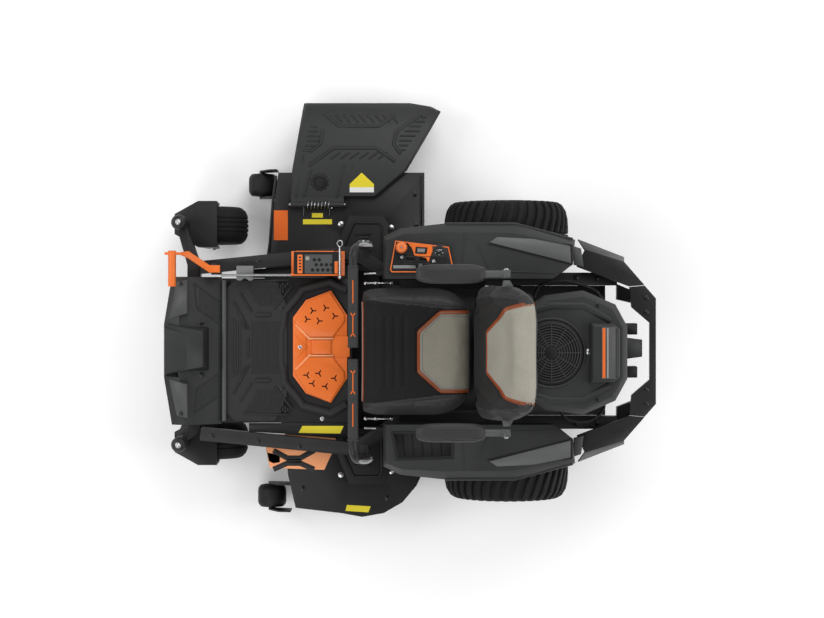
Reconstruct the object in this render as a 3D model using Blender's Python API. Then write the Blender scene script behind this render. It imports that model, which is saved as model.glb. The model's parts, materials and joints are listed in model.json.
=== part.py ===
"""A side-discharge zero turn mower: 52 inch deck, two lap bars, a high-back seat and a rear engine.

The mower is laid out in its own frame first: X = 0 is its centreline, the front faces -Y, the
operator's right is -X, and the ground is Z = 0. The root empty "mower" then moves it so that the
world origin is the centre of its bounding box, on the ground.
"""
import math

import bmesh
import bpy
from mathutils import Vector

# ---------------------------------------------------------------- driving dimensions, in metres
GAP = 0.0005              # clearance between pieces that rest against each other
RUNNING_GAP = 0.001       # clearance round a shaft that turns
SHEET = 0.004             # sheet steel of the frame's plates
PLASTIC_WALL = 0.005      # moulded covers

NOSE_Y = -0.970           # front face of the nose guard
TAIL_Y = 0.942            # rear face of the rear guard
RAIL_WIDTH = 0.050
RAIL_HEIGHT = 0.060
RAIL_WALL = 0.004
RAIL_BOTTOM_Z = 0.370
RAIL_FRONT_Y = -0.826
RAIL_REAR_Y = 0.800
RAIL_FRONT_X = 0.325      # rail centre at the front beam
RAIL_WAIST_X = 0.385      # and where it passes the lap bars
RAIL_REAR_X = 0.280       # and beside the engine, inside the rear tyres

REAR_AXLE_Y = 0.376
REAR_TYRE_R = 0.2475      # 20 inch tyre
REAR_TYRE_W = 0.254
REAR_TYRE_X = 0.461       # tyre centre from the centreline
REAR_RIM_R = 0.1016       # 8 inch rim

CASTER_Y = -0.9066        # swivel axis of the casters
CASTER_X = {"right": -0.500, "left": 0.365}
CASTER_TRAIL = 0.102
CASTER_TYRE_R = 0.140     # 11 inch tyre
CASTER_TYRE_W = 0.150
CASTER_RIM_R = 0.0635     # 5 inch rim
CASTER_STEM_R = 0.0125
CASTER_BARREL_R = 0.030
BARREL_LOW_Z = 0.335
BARREL_HIGH_Z = 0.440
FORK_PLATE = 0.008
FORK_CLEARANCE = 0.009    # between the tyre's side and a fork leg
CROWN_CLEARANCE = 0.016   # between the tyre's top and the fork's crown

DECK_LOW_Z = 0.050
DECK_HIGH_Z = 0.200
DECK_WALL = 0.005
DECK_RIGHT_X = -0.712
DECK_REAR_Y = 0.050
SPINDLE_X = 0.4225        # outer spindles from the centreline
SPINDLE_Y = -0.200        # outer spindles
CENTRE_SPINDLE_Y = -0.375
BLADE_SHELL_R = 0.252     # shell round each blade
BLADE_LENGTH = 0.450
BLADE_Z = 0.076
BLADE_WIDTH = 0.060
BLADE_THICKNESS = 0.006
SPINDLE_R = 0.0125
SPINDLE_PULLEY_R = 0.070
BELT_LOW_Z = 0.218
BELT_WIDTH = 0.012
BELT_THICKNESS = 0.009
DECK_LIFT = 0.085         # travel from the lowest cut to transport
GAUGE_WHEEL_R = 0.058
GAUGE_WHEEL_W = 0.082
GAUGE_WHEEL_Z = 0.074
GAUGE_WHEELS = {"right": (-0.670, -0.610), "left": (0.600, -0.5725)}
GAUGE_AXLE_R = 0.008

CHUTE_HINGE_X = -0.582
CHUTE_HINGE_Z = 0.222
CHUTE_REACH = 1.000       # outer edge of the chute from the centreline
CHUTE_SHEET = 0.007
CHUTE_PIN_R = 0.006

FLOOR_Z = 0.390           # top of the floor pan
FLOOR_HALF_WIDTH = 0.283
FLOOR_FRONT_Y = -0.745
FLOOR_REAR_Y = -0.235
HATCH_X = -0.015          # the hatch lies a little to the right of the centreline
HATCH_FRONT_Y = -0.466
HATCH_REAR_Y = -0.254
HATCH_HALF_WIDTH = 0.220
HATCH_THICKNESS = 0.012

SEAT_HINGE_Y = -0.185
SEAT_HINGE_Z = 0.470
SEAT_HALF_WIDTH = 0.252
SEAT_BACK_HALF = 0.262
SEAT_FRONT_Y = -0.197
SEAT_REAR_Y = 0.232
CUSHION_LOW_Z = 0.500
CUSHION_HIGH_Z = 0.620
BACK_FOOT_Z = 0.530
BACK_TOP_Z = 1.010
BACK_LEAN = 0.39          # how far the back leans, as a slope
BACK_THICKNESS = 0.105
ARMREST_X = 0.291
ARMREST_WIDTH = 0.074
ARMREST_LOW_Z = 0.842
ARMREST_HIGH_Z = 0.882
ARMREST_FRONT_Y = 0.012
ARMREST_PIVOT_Y = 0.345

LEVER_X = 0.400
LEVER_Y = -0.186
LEVER_Z = 0.460           # fore-and-aft pivot of a steering lever
SWING_Z = 0.530           # swing-out pivot of a lap bar
LAP_BAR_R = 0.0125
GRIP_R = 0.0215
GRIP_Y = -0.2165
GRIP_Z = 0.850
GRIP_INNER_X = 0.021      # half the gap between the two grips
GRIP_OUTER_X = 0.345

ENGINE_Y = 0.518          # crankshaft
ENGINE_LOW_Z = RAIL_BOTTOM_Z + GAP
SHROUD_LOW_Z = 0.600
SHROUD_HIGH_Z = 0.760
FAN_R = 0.120
CRANK_R = 0.0125
DRIVE_PULLEY_R = 0.065

POD_INNER_X = 0.278
POD_OUTER_X = 0.490
POD_FRONT_Y = -0.110
POD_REAR_Y = 0.625
POD_HIGH_Z = 0.600
POD_EDGE_Z = 0.555
POD_LOW_Z = 0.512         # fender edge, over the tyre

PANEL_PLACES = {"knob": (-0.396, -0.040), "lever": (-0.352, 0.019), "key": (-0.385, 0.103)}
PEDAL_X = -0.318
PEDAL_Y = -0.765          # pivot of the lift pedal
PEDAL_Z = 0.462
PEDAL_PEG_Y = -0.922
PEDAL_PEG_Z = 0.535

SIDES = {"right": -1, "left": 1}
ROUND_STEPS = 24


# ---------------------------------------------------------------- materials
def material(name, colour, roughness, metallic=0.0):
    made = bpy.data.materials.new(name)
    made.use_nodes = True
    shader = made.node_tree.nodes["Principled BSDF"]
    shader.inputs["Base Color"].default_value = (*colour, 1.0)
    shader.inputs["Roughness"].default_value = roughness
    shader.inputs["Metallic"].default_value = metallic
    return made


# ---------------------------------------------------------------- shapes, as (points, faces)
def loft(sections, closed=False):
    """Loops of equal length joined into one skin. Ends are capped, or joined to each other."""
    count = len(sections[0])
    points = [p for section in sections for p in section]
    faces = []
    spans = len(sections) if closed else len(sections) - 1
    for row in range(spans):
        here, there = row * count, (row + 1) % len(sections) * count
        for i in range(count):
            j = (i + 1) % count
            faces.append((here + i, here + j, there + j, there + i))
    if not closed:
        faces.append(tuple(reversed(range(count))))
        faces.append(tuple(range((len(sections) - 1) * count, len(sections) * count)))
    return points, faces


def prism(outline, low, high):
    """A plan outline of (x, y) points drawn up from low to high."""
    return loft([[(x, y, z) for x, y in outline] for z in (low, high)])


def block(low, high):
    (x0, y0, z0), (x1, y1, z1) = low, high
    return prism([(x0, y0), (x1, y0), (x1, y1), (x0, y1)], z0, z1)


def turned(profile, centre, axis, steps=ROUND_STEPS):
    """A profile of (radius, along) points turned about an axis. It is a ring, or closed at radius 0."""
    direction = Vector(axis).normalized()
    side = direction.orthogonal().normalized()
    other = direction.cross(side)
    ring = all(radius > 0 for radius, _ in profile)
    points, rows = [], []
    for radius, along in profile:
        base = Vector(centre) + direction * along
        if radius == 0:
            rows.append([len(points)] * steps)
            points.append(tuple(base))
            continue
        rows.append(list(range(len(points), len(points) + steps)))
        for i in range(steps):
            turn = 2 * math.pi * i / steps
            points.append(tuple(base + radius * (math.cos(turn) * side + math.sin(turn) * other)))
    faces = []
    for row in range(len(profile) if ring else len(profile) - 1):
        here, there = rows[row], rows[(row + 1) % len(profile)]
        for i in range(steps):
            j = (i + 1) % steps
            corners = dict.fromkeys((here[i], here[j], there[j], there[i]))
            if len(corners) > 2:
                faces.append(tuple(corners))
    return points, faces


def cylinder(centre, axis, radius, length, steps=ROUND_STEPS):
    """A rod of that length, with its middle at the centre."""
    half = length / 2
    return turned([(0, -half), (radius, -half), (radius, half), (0, half)], centre, axis, steps)


def bush(centre, axis, bore, radius, length, steps=ROUND_STEPS):
    half = length / 2
    return turned([(bore, -half), (radius, -half), (radius, half), (bore, half)], centre, axis, steps)


def offset_outline(outline, distance):
    """The outline moved inwards by distance, each edge by itself. The outline runs anticlockwise."""
    moved = []
    count = len(outline)
    for i, here in enumerate(outline):
        a = (Vector(here) - Vector(outline[i - 1])).normalized()
        b = (Vector(outline[(i + 1) % count]) - Vector(here)).normalized()
        normal_a, normal_b = Vector((-a.y, a.x)), Vector((-b.y, b.x))
        bisector = (normal_a + normal_b).normalized()
        moved.append(tuple(Vector(here) + bisector * distance / bisector.dot(normal_a)))
    return moved


def open_shell(outline, low, high, wall):
    """A cover that is open underneath, drawn on an anticlockwise outline."""
    inner = offset_outline(outline, wall)
    rings = [
        [(x, y, low) for x, y in outline],
        [(x, y, high) for x, y in outline],
        [(x, y, high - wall) for x, y in inner],
        [(x, y, low) for x, y in inner],
    ]
    count = len(outline)
    points = [p for ring in rings for p in ring]
    faces = []
    for here, there in ((0, 1), (2, 3), (3, 0)):
        for i in range(count):
            j = (i + 1) % count
            faces.append((here * count + i, here * count + j, there * count + j, there * count + i))
    faces.append(tuple(range(count, 2 * count)))
    faces.append(tuple(reversed(range(2 * count, 3 * count))))
    return points, faces


def round_outline(centres, radius, steps=6):
    """The outline of a cord pulled round equal discs at the given centres, anticlockwise."""
    outline = []
    count = len(centres)
    for i, centre in enumerate(centres):
        before = Vector(centre) - Vector(centres[i - 1])
        after = Vector(centres[(i + 1) % count]) - Vector(centre)
        start = math.atan2(before.y, before.x) - math.pi / 2
        turn = (math.atan2(after.y, after.x) - math.atan2(before.y, before.x)) % (2 * math.pi)
        for k in range(steps + 1):
            angle = start + turn * k / steps
            outline.append((centre[0] + radius * math.cos(angle), centre[1] + radius * math.sin(angle)))
    return outline


def arc(centre, radius, start, end, steps):
    """Points of an arc, with its angles in degrees."""
    turns = [math.radians(start + (end - start) * i / steps) for i in range(steps + 1)]
    return [(centre[0] + radius * math.cos(a), centre[1] + radius * math.sin(a)) for a in turns]


def box_tube(route, width, height, low, wall):
    """An open-ended box tube along a plan route, mitred at its bends."""
    count = len(route)
    sides = []
    for i, here in enumerate(route):
        before = Vector(here) - Vector(route[max(i - 1, 0)])
        after = Vector(route[min(i + 1, count - 1)]) - Vector(here)
        before = before if before.length else after
        after = after if after.length else before
        a, b = before.normalized(), after.normalized()
        normal_a = Vector((-a.y, a.x))
        bisector = (normal_a + Vector((-b.y, b.x))).normalized()
        sides.append(bisector / bisector.dot(normal_a))
    rings = []
    for inset in (0, wall):
        for here, side in zip(route, sides):
            out = side * (width / 2 - inset)
            left, right = Vector(here) + out, Vector(here) - out
            z0, z1 = low + inset, low + height - inset
            rings.append([(*left, z0), (*right, z0), (*right, z1), (*left, z1)])
    order = list(range(count)) + list(reversed(range(count, 2 * count)))
    return loft([rings[i] for i in order], closed=True)


# ---------------------------------------------------------------- objects
bodies = {}


def body(name, pivot=(0, 0, 0)):
    """The empty that a moving body hangs on, at its joint."""
    empty = bpy.data.objects.new(name if name == "mower" else f"{name}_body", None)
    bpy.context.scene.collection.objects.link(empty)
    empty.parent = bodies.get("mower")
    empty.location = pivot
    bodies[name] = empty
    return empty


def raw_object(name, shape, pivot):
    mesh = bpy.data.meshes.new(name)
    points, faces = shape
    mesh.from_pydata([tuple(Vector(p) - Vector(pivot)) for p in points], [], faces)
    mesh.validate()
    recalculate(mesh)
    obj = bpy.data.objects.new(name, mesh)
    bpy.context.scene.collection.objects.link(obj)
    return obj


def recalculate(mesh):
    """Turns every face of a closed mesh outwards."""
    edit = bmesh.new()
    edit.from_mesh(mesh)
    bmesh.ops.remove_doubles(edit, verts=edit.verts, dist=1e-6)
    bmesh.ops.recalc_face_normals(edit, faces=edit.faces)
    if edit.calc_volume(signed=True) < 0:
        bmesh.ops.reverse_faces(edit, faces=edit.faces)
    edit.to_mesh(mesh)
    edit.free()


def piece(name, body_name, finish, shape, add=(), cut=(), bevel=0.0):
    """One node: a shape with others welded to it and others cut from it, on a body."""
    parent = bodies[body_name]
    pivot = parent.location if body_name != "mower" else (0, 0, 0)
    obj = raw_object(name, shape, pivot)
    obj.parent = parent
    obj.data.materials.append(finish)
    for operation, shapes in (("UNION", add), ("DIFFERENCE", cut)):
        for number, extra in enumerate(shapes):
            tool = raw_object(f"{name}_{operation.lower()}_{number}", extra, pivot)
            tool.parent = parent
            tool.hide_render = True
            tool.display_type = "WIRE"
            joined = obj.modifiers.new(operation.title(), "BOOLEAN")
            joined.operation = operation
            joined.object = tool
            joined.solver = "EXACT"
    if bevel:
        edge = obj.modifiers.new("Soft edges", "BEVEL")
        edge.width = bevel
        edge.segments = 1
        edge.limit_method = "ANGLE"
        edge.angle_limit = math.radians(40)
    obj.data.shade_smooth()
    obj.data.set_sharp_from_angle(angle=math.radians(35))
    return obj


def mirrored(shape, side):
    """A shape drawn for the left side, on the side asked for."""
    points, faces = shape
    return [(side * x, y, z) for x, y, z in points], faces


# ---------------------------------------------------------------- frame
def rails(steel):
    """Two box-section rails, bent outwards beside the seat and back in beside the engine."""
    for side_name, side in SIDES.items():
        route = [
            (side * RAIL_FRONT_X, RAIL_FRONT_Y),
            (side * RAIL_WAIST_X, -0.225),
            (side * RAIL_REAR_X, -0.060),
            (side * RAIL_REAR_X, RAIL_REAR_Y),
        ]
        tube = box_tube(route, RAIL_WIDTH, RAIL_HEIGHT, RAIL_BOTTOM_Z, RAIL_WALL)
        welded = [mirrored(shape, side) for shape in lever_bracket()]
        if side_name == "right":
            welded += pedal_bracket()
        piece(f"frame_rail_{side_name}", "chassis", steel, tube, add=welded)


def front_beam(steel):
    """The cross beam ahead of the rails, whose bent arms end in the casters' upright barrels."""
    beam_y = RAIL_FRONT_Y - GAP - RAIL_WIDTH / 2 - 0.003
    route = [
        (CASTER_X["right"], CASTER_Y),
        (-RAIL_FRONT_X - 0.010, beam_y),
        (RAIL_FRONT_X - 0.010, beam_y),
        (CASTER_X["left"], CASTER_Y),
    ]
    bottom = BARREL_LOW_Z + 0.010
    sections = []
    for i, (x, y) in enumerate(route):
        half = RAIL_WIDTH / 2 - (0.003 if i in (0, 3) else 0)
        lean = -0.008 if i == 0 else 0.008 if i == 3 else 0
        top = bottom + RAIL_HEIGHT
        sections.append(
            [
                (x + lean, y - half, bottom), (x - lean, y + half, bottom),
                (x - lean, y + half, top), (x + lean, y - half, top),
            ]
        )
    middle = (BARREL_LOW_Z + BARREL_HIGH_Z) / 2
    length = BARREL_HIGH_Z - BARREL_LOW_Z
    barrels, bores = [], []
    for x in CASTER_X.values():
        barrels.append(cylinder((x, CASTER_Y, middle), (0, 0, 1), CASTER_BARREL_R, length, 20))
        bore = CASTER_STEM_R + RUNNING_GAP
        bores.append(cylinder((x, CASTER_Y, middle), (0, 0, 1), bore, length + 0.01, 16))
    piece("front_beam", "chassis", steel, loft(sections), add=barrels, cut=bores)


def engine_mount(steel):
    """The plate between the rails that carries the engine, with a hole for the crankshaft."""
    half = RAIL_REAR_X - RAIL_WIDTH / 2 - GAP
    low = RAIL_BOTTOM_Z - 0.006
    plate = block((-half, 0.300, low), (half, 0.760, low + 0.006))
    lip = block((-half, 0.300, low), (half, 0.306, low + 0.040))
    hole = cylinder((0, ENGINE_Y, low), (0, 0, 1), CRANK_R + 0.010, 0.05, 16)
    piece("engine_mount", "chassis", steel, plate, add=[lip], cut=[hole])


def rear_guards(steel):
    """The folded plates round the engine: a flat wing each side, and a notched plate across the tail."""
    low, high = 0.478, 0.500
    for side_name, side in SIDES.items():
        wing = [(0.392, 0.668), (0.3455, 0.819), (0.255, 0.898), (0.250, 0.840), (0.326, 0.637)]
        flap = loft(
            [
                [(side * x, y, high) for x, y in ((0.392, 0.668), (0.3455, 0.819), (0.3415, 0.817), (0.388, 0.666))],
                [(side * x, y, low - 0.07) for x, y in ((0.436, 0.650), (0.366, 0.830), (0.362, 0.828), (0.432, 0.648))],
            ]
        )
        leg_x, leg_y = RAIL_REAR_X + RAIL_WIDTH / 2 + GAP, 0.760
        leg = block((leg_x, leg_y, RAIL_BOTTOM_Z + 0.01), (leg_x + 0.006, leg_y + 0.035, low + 0.004))
        plate = prism([(side * x, y) for x, y in wing], low, high)
        piece(f"rear_guard_{side_name}", "chassis", steel, plate, add=[flap, mirrored(leg, side)])
    notch = 0.110
    outline = [
        (-0.2535, 0.8985), (-0.204, TAIL_Y), (0.204, TAIL_Y), (0.2535, 0.8985), (0.2485, 0.8405),
        (notch + 0.060, 0.848), (notch, TAIL_Y - 0.024), (-notch, TAIL_Y - 0.024), (-notch - 0.060, 0.848),
        (-0.2485, 0.8405),
    ]
    outline = [(x * (1 - 2 * GAP), y) for x, y in outline]
    skirt = block((-0.204, TAIL_Y - 0.008, low - 0.07), (0.204, TAIL_Y, high))
    feet = []
    for side in SIDES.values():
        x = side * RAIL_REAR_X
        feet.append(
            block(
                (x - 0.020, RAIL_REAR_Y + GAP, RAIL_BOTTOM_Z + 0.005),
                (x + 0.020, RAIL_REAR_Y + 0.008, low - 0.030),
            )
        )
    struts = []
    for side in SIDES.values():
        x = side * (RAIL_REAR_X - 0.040)
        struts.append(
            loft(
                [
                    [(x + dx, RAIL_REAR_Y + GAP, RAIL_BOTTOM_Z + dz) for dx, dz in ((-0.02, 0.01), (0.04, 0.01), (0.04, 0.05), (-0.02, 0.05))],
                    [(side * 0.195 + dx, 0.900, low + dz) for dx, dz in ((-0.02, -0.04), (0.02, -0.04), (0.02, 0.01), (-0.02, 0.01))],
                ]
            )
        )
    piece("rear_guard_centre", "chassis", steel, prism(outline, low, high), add=[skirt, *struts])


def nose(plastic):
    """The faceted guard ahead of the feet, with its sloping footrest and the block in its middle."""
    half = FLOOR_HALF_WIDTH + 0.005
    bottom = BARREL_LOW_Z + 0.010 + RAIL_HEIGHT + GAP
    profile = [  # y, z at the middle and at the ends
        (FLOOR_FRONT_Y - GAP, 0.398, 0.398),
        (-0.860, 0.452, 0.452),
        (-0.905, 0.462, 0.458),
        (NOSE_Y, 0.440, 0.436),
        (NOSE_Y + 0.006, bottom, bottom),
        (FLOOR_FRONT_Y - GAP, 0.386, 0.386),
    ]
    profile[-2] = (NOSE_Y + 0.006, 0.410, 0.410)
    sections = []
    for x, back in ((-half, 0.034), (-0.105, 0.004), (0.105, 0.004), (half, 0.034)):
        row = []
        for i, (y, middle_z, end_z) in enumerate(profile):
            moved = y + (back if i in (3, 4) else back * 0.4 if i == 2 else 0)
            row.append((x, moved, middle_z if abs(x) < half else end_z))
        sections.append(row)
    under = block((-half - 0.01, CASTER_Y + 0.005, 0.3), (half + 0.01, RAIL_FRONT_Y + 0.004, bottom))
    centre = loft(
        [
            [(x, y, 0.425) for x, y in ((-0.098, NOSE_Y + 0.002), (0.098, NOSE_Y + 0.002), (0.078, -0.835), (-0.078, -0.835))],
            [(x, y, 0.482) for x, y in ((-0.090, NOSE_Y + 0.012), (0.090, NOSE_Y + 0.012), (0.060, -0.850), (-0.060, -0.850))],
        ]
    )
    piece("nose_guard", "chassis", plastic, loft(sections), add=[centre], cut=[under])


def floor(steel, rubber):
    """The floor pan between the rails, its hatch hole, and the tread mat on it."""
    pan = block(
        (-FLOOR_HALF_WIDTH, FLOOR_FRONT_Y, FLOOR_Z - SHEET),
        (FLOOR_HALF_WIDTH, FLOOR_REAR_Y, FLOOR_Z),
    )
    edge = 0.010
    hole = [
        (HATCH_X + (x - HATCH_X) * (HATCH_HALF_WIDTH - edge) / HATCH_HALF_WIDTH, y)
        for x, y in hatch_outline(HATCH_FRONT_Y + edge, HATCH_REAR_Y - edge)
    ]
    piece("floor_pan", "chassis", steel, pan, cut=[prism(hole, FLOOR_Z - 0.03, FLOOR_Z + 0.03)])
    cut_in = 0.045
    side, front, rear = FLOOR_HALF_WIDTH - 0.004, FLOOR_FRONT_Y + 0.006, -0.490
    mat = [
        (-side, front + cut_in), (-side + cut_in, front), (side - cut_in, front), (side, front + cut_in),
        (side, rear - cut_in), (side - 0.10, rear), (-side + 0.10, rear), (-side, rear - cut_in),
    ]
    piece("floor_mat", "chassis", rubber, prism(mat, FLOOR_Z + GAP, FLOOR_Z + 0.012), bevel=0.003)


def hatch_outline(front, rear):
    """Eight-sided plan of the access hatch, narrow at its front and rear edges."""
    half = HATCH_HALF_WIDTH
    depth = rear - front
    right_half = [(0.52, 0.0), (0.83, 0.24), (1.0, 0.70), (0.56, 1.0)]
    points = [(share * half, front + along * depth) for share, along in right_half]
    points += [(-x, y) for x, y in reversed(points)]
    return [(HATCH_X + x, y) for x, y in points]


def access_hatch(paint):
    lid = prism(hatch_outline(HATCH_FRONT_Y, HATCH_REAR_Y), FLOOR_Z + GAP, FLOOR_Z + GAP + HATCH_THICKNESS)
    top = FLOOR_Z + GAP + HATCH_THICKNESS
    groove = block(
        (HATCH_X - 0.045, HATCH_FRONT_Y + 0.05, top - 0.004),
        (HATCH_X + 0.045, HATCH_REAR_Y + 0.02, top + 0.02),
    )
    knuckle = cylinder((HATCH_X, HATCH_REAR_Y + 0.004, FLOOR_Z + 0.009), (1, 0, 0), 0.006, 0.080, 12)
    piece("access_hatch", "hatch", paint, lid, add=[knuckle], cut=[groove])


def side_step(paint):
    """The mounting step bolted outside the left rail."""
    outline = [(0.372, -0.595), (0.372, -0.300), (0.470, -0.345), (0.462, -0.560)]
    window = [(0.402, -0.570), (0.412, -0.520), (0.440, -0.520), (0.444, -0.545), (0.436, -0.562)]
    low = RAIL_BOTTOM_Z - SHEET - GAP
    plate = prism([(0.325, -0.585), (0.345, -0.300), *outline[1:]], low, low + SHEET)
    piece("side_step", "chassis", paint, plate, cut=[prism(window, low - 0.02, low + 0.02)])


# ---------------------------------------------------------------- bodywork
def pod_sections(side):
    """Plan outline of a fender pod at its lower edge and at its top, anticlockwise on either side."""
    low = [
        (POD_INNER_X, POD_FRONT_Y), (0.440, POD_FRONT_Y), (0.472, -0.045), (POD_OUTER_X, 0.120),
        (POD_OUTER_X, 0.400), (0.428, POD_REAR_Y), (0.335, POD_REAR_Y - 0.008), (POD_INNER_X, 0.545),
    ]
    high = [
        (POD_INNER_X, POD_FRONT_Y + 0.010), (0.425, POD_FRONT_Y + 0.012), (0.448, -0.035), (0.455, 0.120),
        (0.452, 0.390), (0.405, POD_REAR_Y - 0.012), (0.330, POD_REAR_Y - 0.016), (POD_INNER_X, 0.535),
    ]
    return [[(side * x, y) for x, y in outline] for outline in (low, high)]


def side_pods(plastic):
    """Hollow fender pods over the rear tyres. The left one has a storage tray let into its top."""
    tray = {
        "low": POD_HIGH_Z - 0.055,
        "plan": [(0.312, -0.070), (0.405, -0.052), (0.398, 0.150), (0.312, 0.150)],
    }
    for side_name, side in SIDES.items():
        low, high = pod_sections(side)
        z_levels = (POD_LOW_Z, POD_EDGE_Z, POD_HIGH_Z)
        outer = loft([[(x, y, z) for x, y in plan] for plan, z in zip((low, low, high), z_levels)])
        inner_low = offset_outline(low if side > 0 else low[::-1], PLASTIC_WALL)
        inner_high = offset_outline(high if side > 0 else high[::-1], PLASTIC_WALL)
        inner = loft(
            [
                [(x, y, POD_LOW_Z - 0.02) for x, y in inner_low],
                [(x, y, POD_EDGE_Z - 0.002) for x, y in inner_low],
                [(x, y, POD_HIGH_Z - PLASTIC_WALL) for x, y in inner_high],
            ]
        )
        foot = RAIL_BOTTOM_Z + RAIL_HEIGHT + GAP
        skirt = mirrored(block((0.284, -0.050, foot), (0.292, 0.535, POD_LOW_Z + 0.010)), side)
        lid = mirrored(
            block((POD_INNER_X + 0.001, -0.050, POD_LOW_Z), (0.292, 0.535, POD_LOW_Z + 0.006)),
            side,
        )
        pod = piece(f"side_pod_{side_name}", "chassis", plastic, outer, cut=[inner])
        weld(pod, "UNION", skirt)
        weld(pod, "UNION", lid)
        if side_name == "right":
            continue
        wall = PLASTIC_WALL
        tub = prism(offset_outline(tray["plan"], -wall), tray["low"] - wall, POD_HIGH_Z - wall / 2)
        hollow = prism(tray["plan"], tray["low"], POD_HIGH_Z + 0.02)
        weld(pod, "UNION", tub)
        weld(pod, "DIFFERENCE", hollow)


def weld(obj, operation, shape):
    """One more Boolean on a piece of the chassis, after the ones that it was made with."""
    tool = raw_object(f"{obj.name}_tool_{len(obj.modifiers)}", shape, (0, 0, 0))
    tool.parent = obj.parent
    tool.hide_render = True
    tool.display_type = "WIRE"
    joined = obj.modifiers.new(operation.title(), "BOOLEAN")
    joined.operation = operation
    joined.object = tool
    joined.solver = "EXACT"


def control_panel(plastic, paint, steel):
    """The switch panel on the right pod, with its blade knob, throttle and key."""
    top = POD_HIGH_Z + 0.012
    outline = [
        (-0.4245, -0.0655), (-0.310, -0.086), (-0.300, -0.078), (-0.300, 0.150), (-0.335, 0.156),
        (-0.400, 0.142),
    ]
    panel = loft(
        [
            [(x, y, POD_HIGH_Z + GAP) for x, y in outline],
            [(x * 0.99, y * 0.97, top) for x, y in outline],
        ]
    )
    key_at, knob_at, lever_at = PANEL_PLACES["key"], PANEL_PLACES["knob"], PANEL_PLACES["lever"]
    holes = [
        cylinder((*knob_at, top), (0, 0, 1), 0.005 + GAP, 0.018, 12),
        cylinder((*key_at, top), (0, 0, 1), 0.005 + GAP, 0.018, 12),
        block(
            (lever_at[0] - 0.005, lever_at[1] - 0.040, top - 0.008),
            (lever_at[0] + 0.005, lever_at[1] + 0.040, top + 0.02),
        ),
    ]
    piece("control_panel", "chassis", plastic, panel, cut=holes)
    knob = turned(
        [
            (0, -0.006), (0.005, -0.006), (0.005, 0.014), (0.021, 0.018), (0.021, 0.034),
            (0.015, 0.040), (0, 0.040),
        ],
        (*knob_at, top), (0, 0, 1), 18,
    )
    piece("blade_knob", "blade_knob", paint, knob)
    stalk = block(
        (lever_at[0] - 0.0035, lever_at[1] - 0.005, top - 0.006),
        (lever_at[0] + 0.0035, lever_at[1] + 0.005, top + 0.030),
    )
    grip = block(
        (lever_at[0] - 0.009, lever_at[1] - 0.008, top + 0.026),
        (lever_at[0] + 0.009, lever_at[1] + 0.008, top + 0.046),
    )
    piece("throttle_lever", "throttle", plastic, stalk, add=[grip])
    barrel = cylinder((*key_at, top - 0.001), (0, 0, 1), 0.005, 0.012, 12)
    bow = block(
        (key_at[0] - 0.002, key_at[1] - 0.011, top + 0.002),
        (key_at[0] + 0.002, key_at[1] + 0.011, top + 0.026),
    )
    piece("ignition_key", "key", steel, barrel, add=[bow])


def height_selector(paint):
    """The bracket on the right rail with rows of pin holes that set the cutting height."""
    y0, y1 = -0.470, -0.262
    low, high = RAIL_BOTTOM_Z + RAIL_HEIGHT + GAP, 0.475
    section = [
        (-0.388, low), (-0.292, low), (-0.292, high), (-0.300, high), (-0.300, low + 0.006),
        (-0.388, low + 0.006),
    ]
    channel = loft([[(x, y, z) for x, z in section] for y in (y0, y1)])
    face = block((-0.388, y0 + 0.02, high - 0.006), (-0.294, y1 - 0.04, high))
    ends = [block((-0.388, y, low), (-0.294, y + 0.005, high)) for y in (y0 + 0.02, y1 - 0.045)]
    holes = []
    for row, (x, count) in enumerate(((-0.358, 2), (-0.338, 4), (-0.318, 5))):
        for k in range(count):
            y = y0 + 0.086 + k * 0.0195 + (0.010 if row == 0 else 0) + (0.012 if row == 1 else 0)
            holes.append(cylinder((x, y, high), (0, 0, 1), 0.0065, 0.03, 8))
    piece("height_selector", "chassis", paint, channel, add=[face, *ends], cut=holes)


# ---------------------------------------------------------------- seat
def seat_base(steel):
    """The riser under the seat, which also covers the battery and the control linkages."""
    low = RAIL_BOTTOM_Z + RAIL_HEIGHT + GAP
    box = open_shell(
        [(-0.240, -0.160), (0.240, -0.160), (0.240, 0.285), (-0.240, 0.285)], low,
        SEAT_HINGE_Z - 0.010, SHEET,
    )
    ears = []
    for side in SIDES.values():
        ears.append(mirrored(block((0.237, -0.050, low), (RAIL_REAR_X - 0.004, 0.285, low + SHEET)), side))
        ears.append(
            mirrored(
                block((0.180, SEAT_HINGE_Y - 0.012, low + 0.010), (0.188, -0.158, SEAT_HINGE_Z + 0.010)),
                side,
            )
        )
    pins = [
        mirrored(cylinder((0.188, SEAT_HINGE_Y, SEAT_HINGE_Z), (1, 0, 0), 0.005, 0.024, 12), side)
        for side in SIDES.values()
    ]
    piece("seat_base", "chassis", steel, box, add=[*ears, *pins])


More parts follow.
